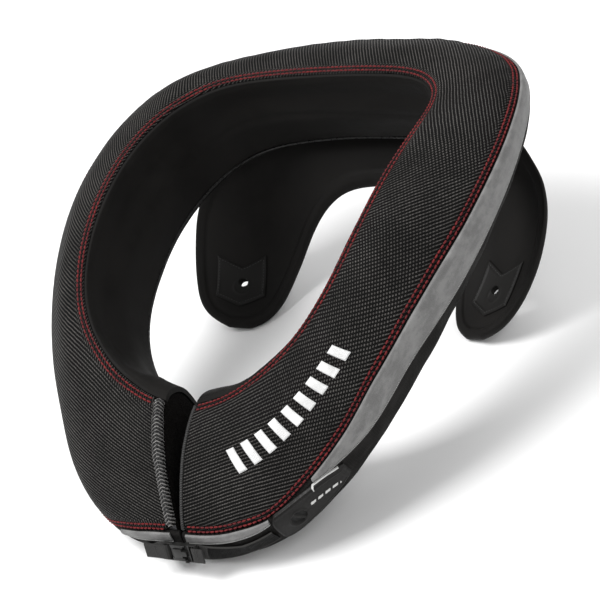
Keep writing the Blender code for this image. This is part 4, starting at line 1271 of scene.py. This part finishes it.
def build_strap(name, bar_edge, sign, fold_length, wall_start, wall_end):
    """Webbing from the collar's side to a buckle's bar, round it and back over itself."""
    layer = FRAME_DEPTH / 2 + GAP + WEBBING / 2
    beyond = sign * (BAR + GAP + WEBBING / 2)
    fold = bar_edge - sign * (GAP + WEBBING / 2)
    free = bar_edge + beyond + sign * fold_length
    local = [(free, -layer), (bar_edge + beyond, -layer), (bar_edge, -layer)]
    for i in range(1, 10):
        angle = math.pi * i / 10
        local.append((bar_edge + (fold - bar_edge) * math.sin(angle), -layer * math.cos(angle)))
    local += [(bar_edge, layer), (bar_edge + beyond, layer)]
    rise = np.array(BUCKLE_SEAT.col[2][:3])
    path = [np.array(BUCKLE_SEAT @ Vector((x, y, 0))) for x, y in local]
    ups = [rise] * len(path)
    for place in np.linspace(wall_start, wall_end, 7):
        section = Section(place if sign > 0 else RIGHT_END - place)
        path.append(section.point(STRAP_KNOT, STRAP_STANDOFF + WEBBING / 2))
        above = section.point(STRAP_KNOT - 0.3) - section.point(STRAP_KNOT + 0.3)
        ups.append(above / np.linalg.norm(above))
    lengths = chord_lengths(path)
    curve = smooth_spline(lengths, np.array(path))
    fine = np.linspace(0, lengths[-1], int(lengths[-1] / 0.28))
    spots = np.array([curve(s) for s in fine])
    up = np.stack([np.interp(fine, lengths, column) for column in np.array(ups).T], 1)
    ahead, side, rise = frames_along(spots, up / np.linalg.norm(up, axis=1, keepdims=True))
    across = WEBBING_WIDTH * (denser_ends(30, 0.6) - 0.5)
    rib = 0.03 * np.cos(2 * math.pi * fine / 0.74)
    inset = 0.5 * WEBBING_WIDTH - np.abs(across)
    half = (WEBBING / 2 - 0.07) * (0.45 + 0.55 * ramp(inset, 0, 0.5))
    grid = spots[:, None] + rise[:, None] * across[None, :, None]
    lift = half[None, :] + rib[:, None] * ramp(inset, 0.1, 0.6)[None, :]
    outer = grid + side[:, None] * lift[..., None]
    inner = grid - side[:, None] * lift[..., None]
    # Beyond 13 mm the left strap's run is painted dark as painted shade, with painted highlights on its
    # edges.
    shaded = 10.0 * ramp(fine, 13.0, 14.2) if sign > 0 else 0.0 * fine
    grain = np.stack([np.repeat(fine[:, None], 30, 1), np.repeat(across[None], len(fine), 0),
                      inset[None] + shaded[:, None]], -1)
    item = sheet_mesh(name + "_webbing", outer, inner, grain, LOOKS["webbing"])
    add_piece(item, name, slot="webbing")
    seam = 5.2 if sign < 0 else 2.6
    row = int(np.searchsorted(fine, seam))
    lines = []
    for offset in (0, 4):
        normal = side[row + offset]
        for sense, grid_side in ((1.0, outer), (-1.0, inner)):
            lines.append((grid_side[row + offset, 3:-3], np.tile(sense * normal, (24, 1))))
    item = stitch_rows("stitches_" + name, lines, LOOKS["grey_thread"], 0.9, 0.7, 0.13, 0.10)
    add_piece(item)


def tab_face(s, gone, left):
    """The tab's relief, and its painted tone, by the length along it and the distances from its long
    edges: a sunken ring painted dark as painted shade, edges painted lighter as painted highlights, a
    row of pale printed dashes, and a thin line along the top edge painted pale as a painted highlight."""
    edge = np.minimum(np.minimum(gone, left), np.minimum(s, TAB_LENGTH - s))
    level = gone - TAB_LEVEL - 0.076 * (s - 15.0)
    down = gone - 0.49 * (gone + left)
    ring = np.hypot(s - TAB_RING_AT, down)
    inside = ramp(TAB_RING - ring, 0, 0.4)
    tongue = inside * ramp(0.75 - np.abs(0.9 * (s - TAB_RING_AT) - 0.43 * down), 0, 0.3)
    dashes = ramp(np.cos(2 * math.pi * (s + 0.5 * level - 16.4) / TAB_DASH_PITCH), -0.85, -0.6)
    dashes = dashes * ramp(s, 14.8, 15.2) * ramp(27.6 - s, 0, 0.4)
    dashes = dashes * ramp(0.85 - np.abs(level), 0, 0.25)
    # A thin line along the top edge and a short leg down from its start, painted pale as a painted
    # highlight.
    highlight_start, highlight_end = TAB_EDGE_HIGHLIGHT
    line = ramp(s, highlight_start, highlight_start + 0.2) * ramp(highlight_end - s, 0, 0.4)
    line = line * ramp(0.42 - gone, 0, 0.15)
    highlight_leg = bell(s - highlight_start - 0.3, 0.35) * ramp(2.2 - gone, 0, 0.3)
    # Pale print (the dashes) together with the painted highlight line.
    pale = np.maximum(dashes, np.maximum(line, highlight_leg))
    rounded = TAB_THICKNESS * (0.3 + 0.7 * ramp(edge, 0, 0.9))
    border = 0.25 * bell(edge - 1.5, 0.45) * ramp(edge, 0.4, 1)
    collar = 0.30 * bell(ring - TAB_RING - 0.4, 0.4)
    relief = border + collar - 0.9 * inside + 0.7 * tongue + 0.25 * pale
    # Second value: painted highlights near the edges, pale print and the painted highlight line, less
    # painted shade inside the sunken ring.
    return GAP + rounded + relief, 0.9 * bell(edge - 0.5, 0.5) + 2.0 * pale - (inside - tongue)


def build_tab():
    """The rubber tab of the strap: a ring at its rounded end, and plain raised bars."""
    edges = band_edges(TAB)
    first = TAB[0].place

    def knots(place):
        top, bottom = edges(place)
        return top + (bottom - top) * denser_ends(64, 0.5)

    def out(place, gone, left):
        return tab_face((place - first) * HALF_LENGTH, gone, left)[0]

    places = first + (TAB[-1].place - first) * denser_ends(180, 0.7)
    outer, inner, along, near, far = laid_grids(places, knots, out, GAP)
    along = along - first * HALF_LENGTH
    grain = np.stack([along, near, tab_face(along, near, far)[1]], -1)
    item = sheet_mesh("tab_rubber_face", outer, inner, grain, LOOKS["tab"])
    return add_piece(item, "strap_tab", slot="tab_rubber")


def add_light(name, at, size, power):
    lamp = bpy.data.lights.new(name, "AREA")
    lamp.size = size
    lamp.energy = power
    item = into_scene(name, lamp)
    item.location = at
    item.rotation_euler = (LIGHTS_AIM - Vector(at)).to_track_quat("-Z", "Y").to_euler()


def build_studio():
    bpy.ops.mesh.primitive_plane_add(size=8.0, location=(0.0, 0.0, 0.0))
    floor = bpy.context.object
    floor.name = "floor"
    floor.data.materials.append(floor_look())
    add_light("key", (-0.45, -0.45, 1.15), 0.7, 20.0)
    add_light("fill", (0.95, -0.45, 0.75), 0.7, 6.0)
    add_light("back", (0.1, 0.8, 1.0), 0.8, 5.5)
    world = bpy.data.worlds.new("studio")
    world.use_nodes = True
    background = world.node_tree.nodes["Background"]
    background.inputs["Color"].default_value = (1.0, 1.0, 1.0, 1.0)
    background.inputs["Strength"].default_value = 0.5
    bpy.context.scene.world = world
    bpy.context.scene.view_settings.view_transform = "Standard"

    view = bpy.data.cameras.new("camera")
    view.lens = CAMERA_LENS
    view.sensor_width = 36.0
    view.clip_start = 0.01
    camera = into_scene("camera", view)
    camera.location = CAMERA_AT
    camera.rotation_euler = Euler([math.radians(a) for a in CAMERA_TURN])
    bpy.context.scene.camera = camera


build_studio()
build_core()
build_top_cover()
build_inner_wall()
base = build_base_cover()
build_end_panels()
build_strips()
build_binding()
build_stitches()
surface = YokeSurface(base)
build_yoke(surface)
build_patches(surface)
build_motif()
build_buckle()
build_tab()

bpy.context.view_layer.update()
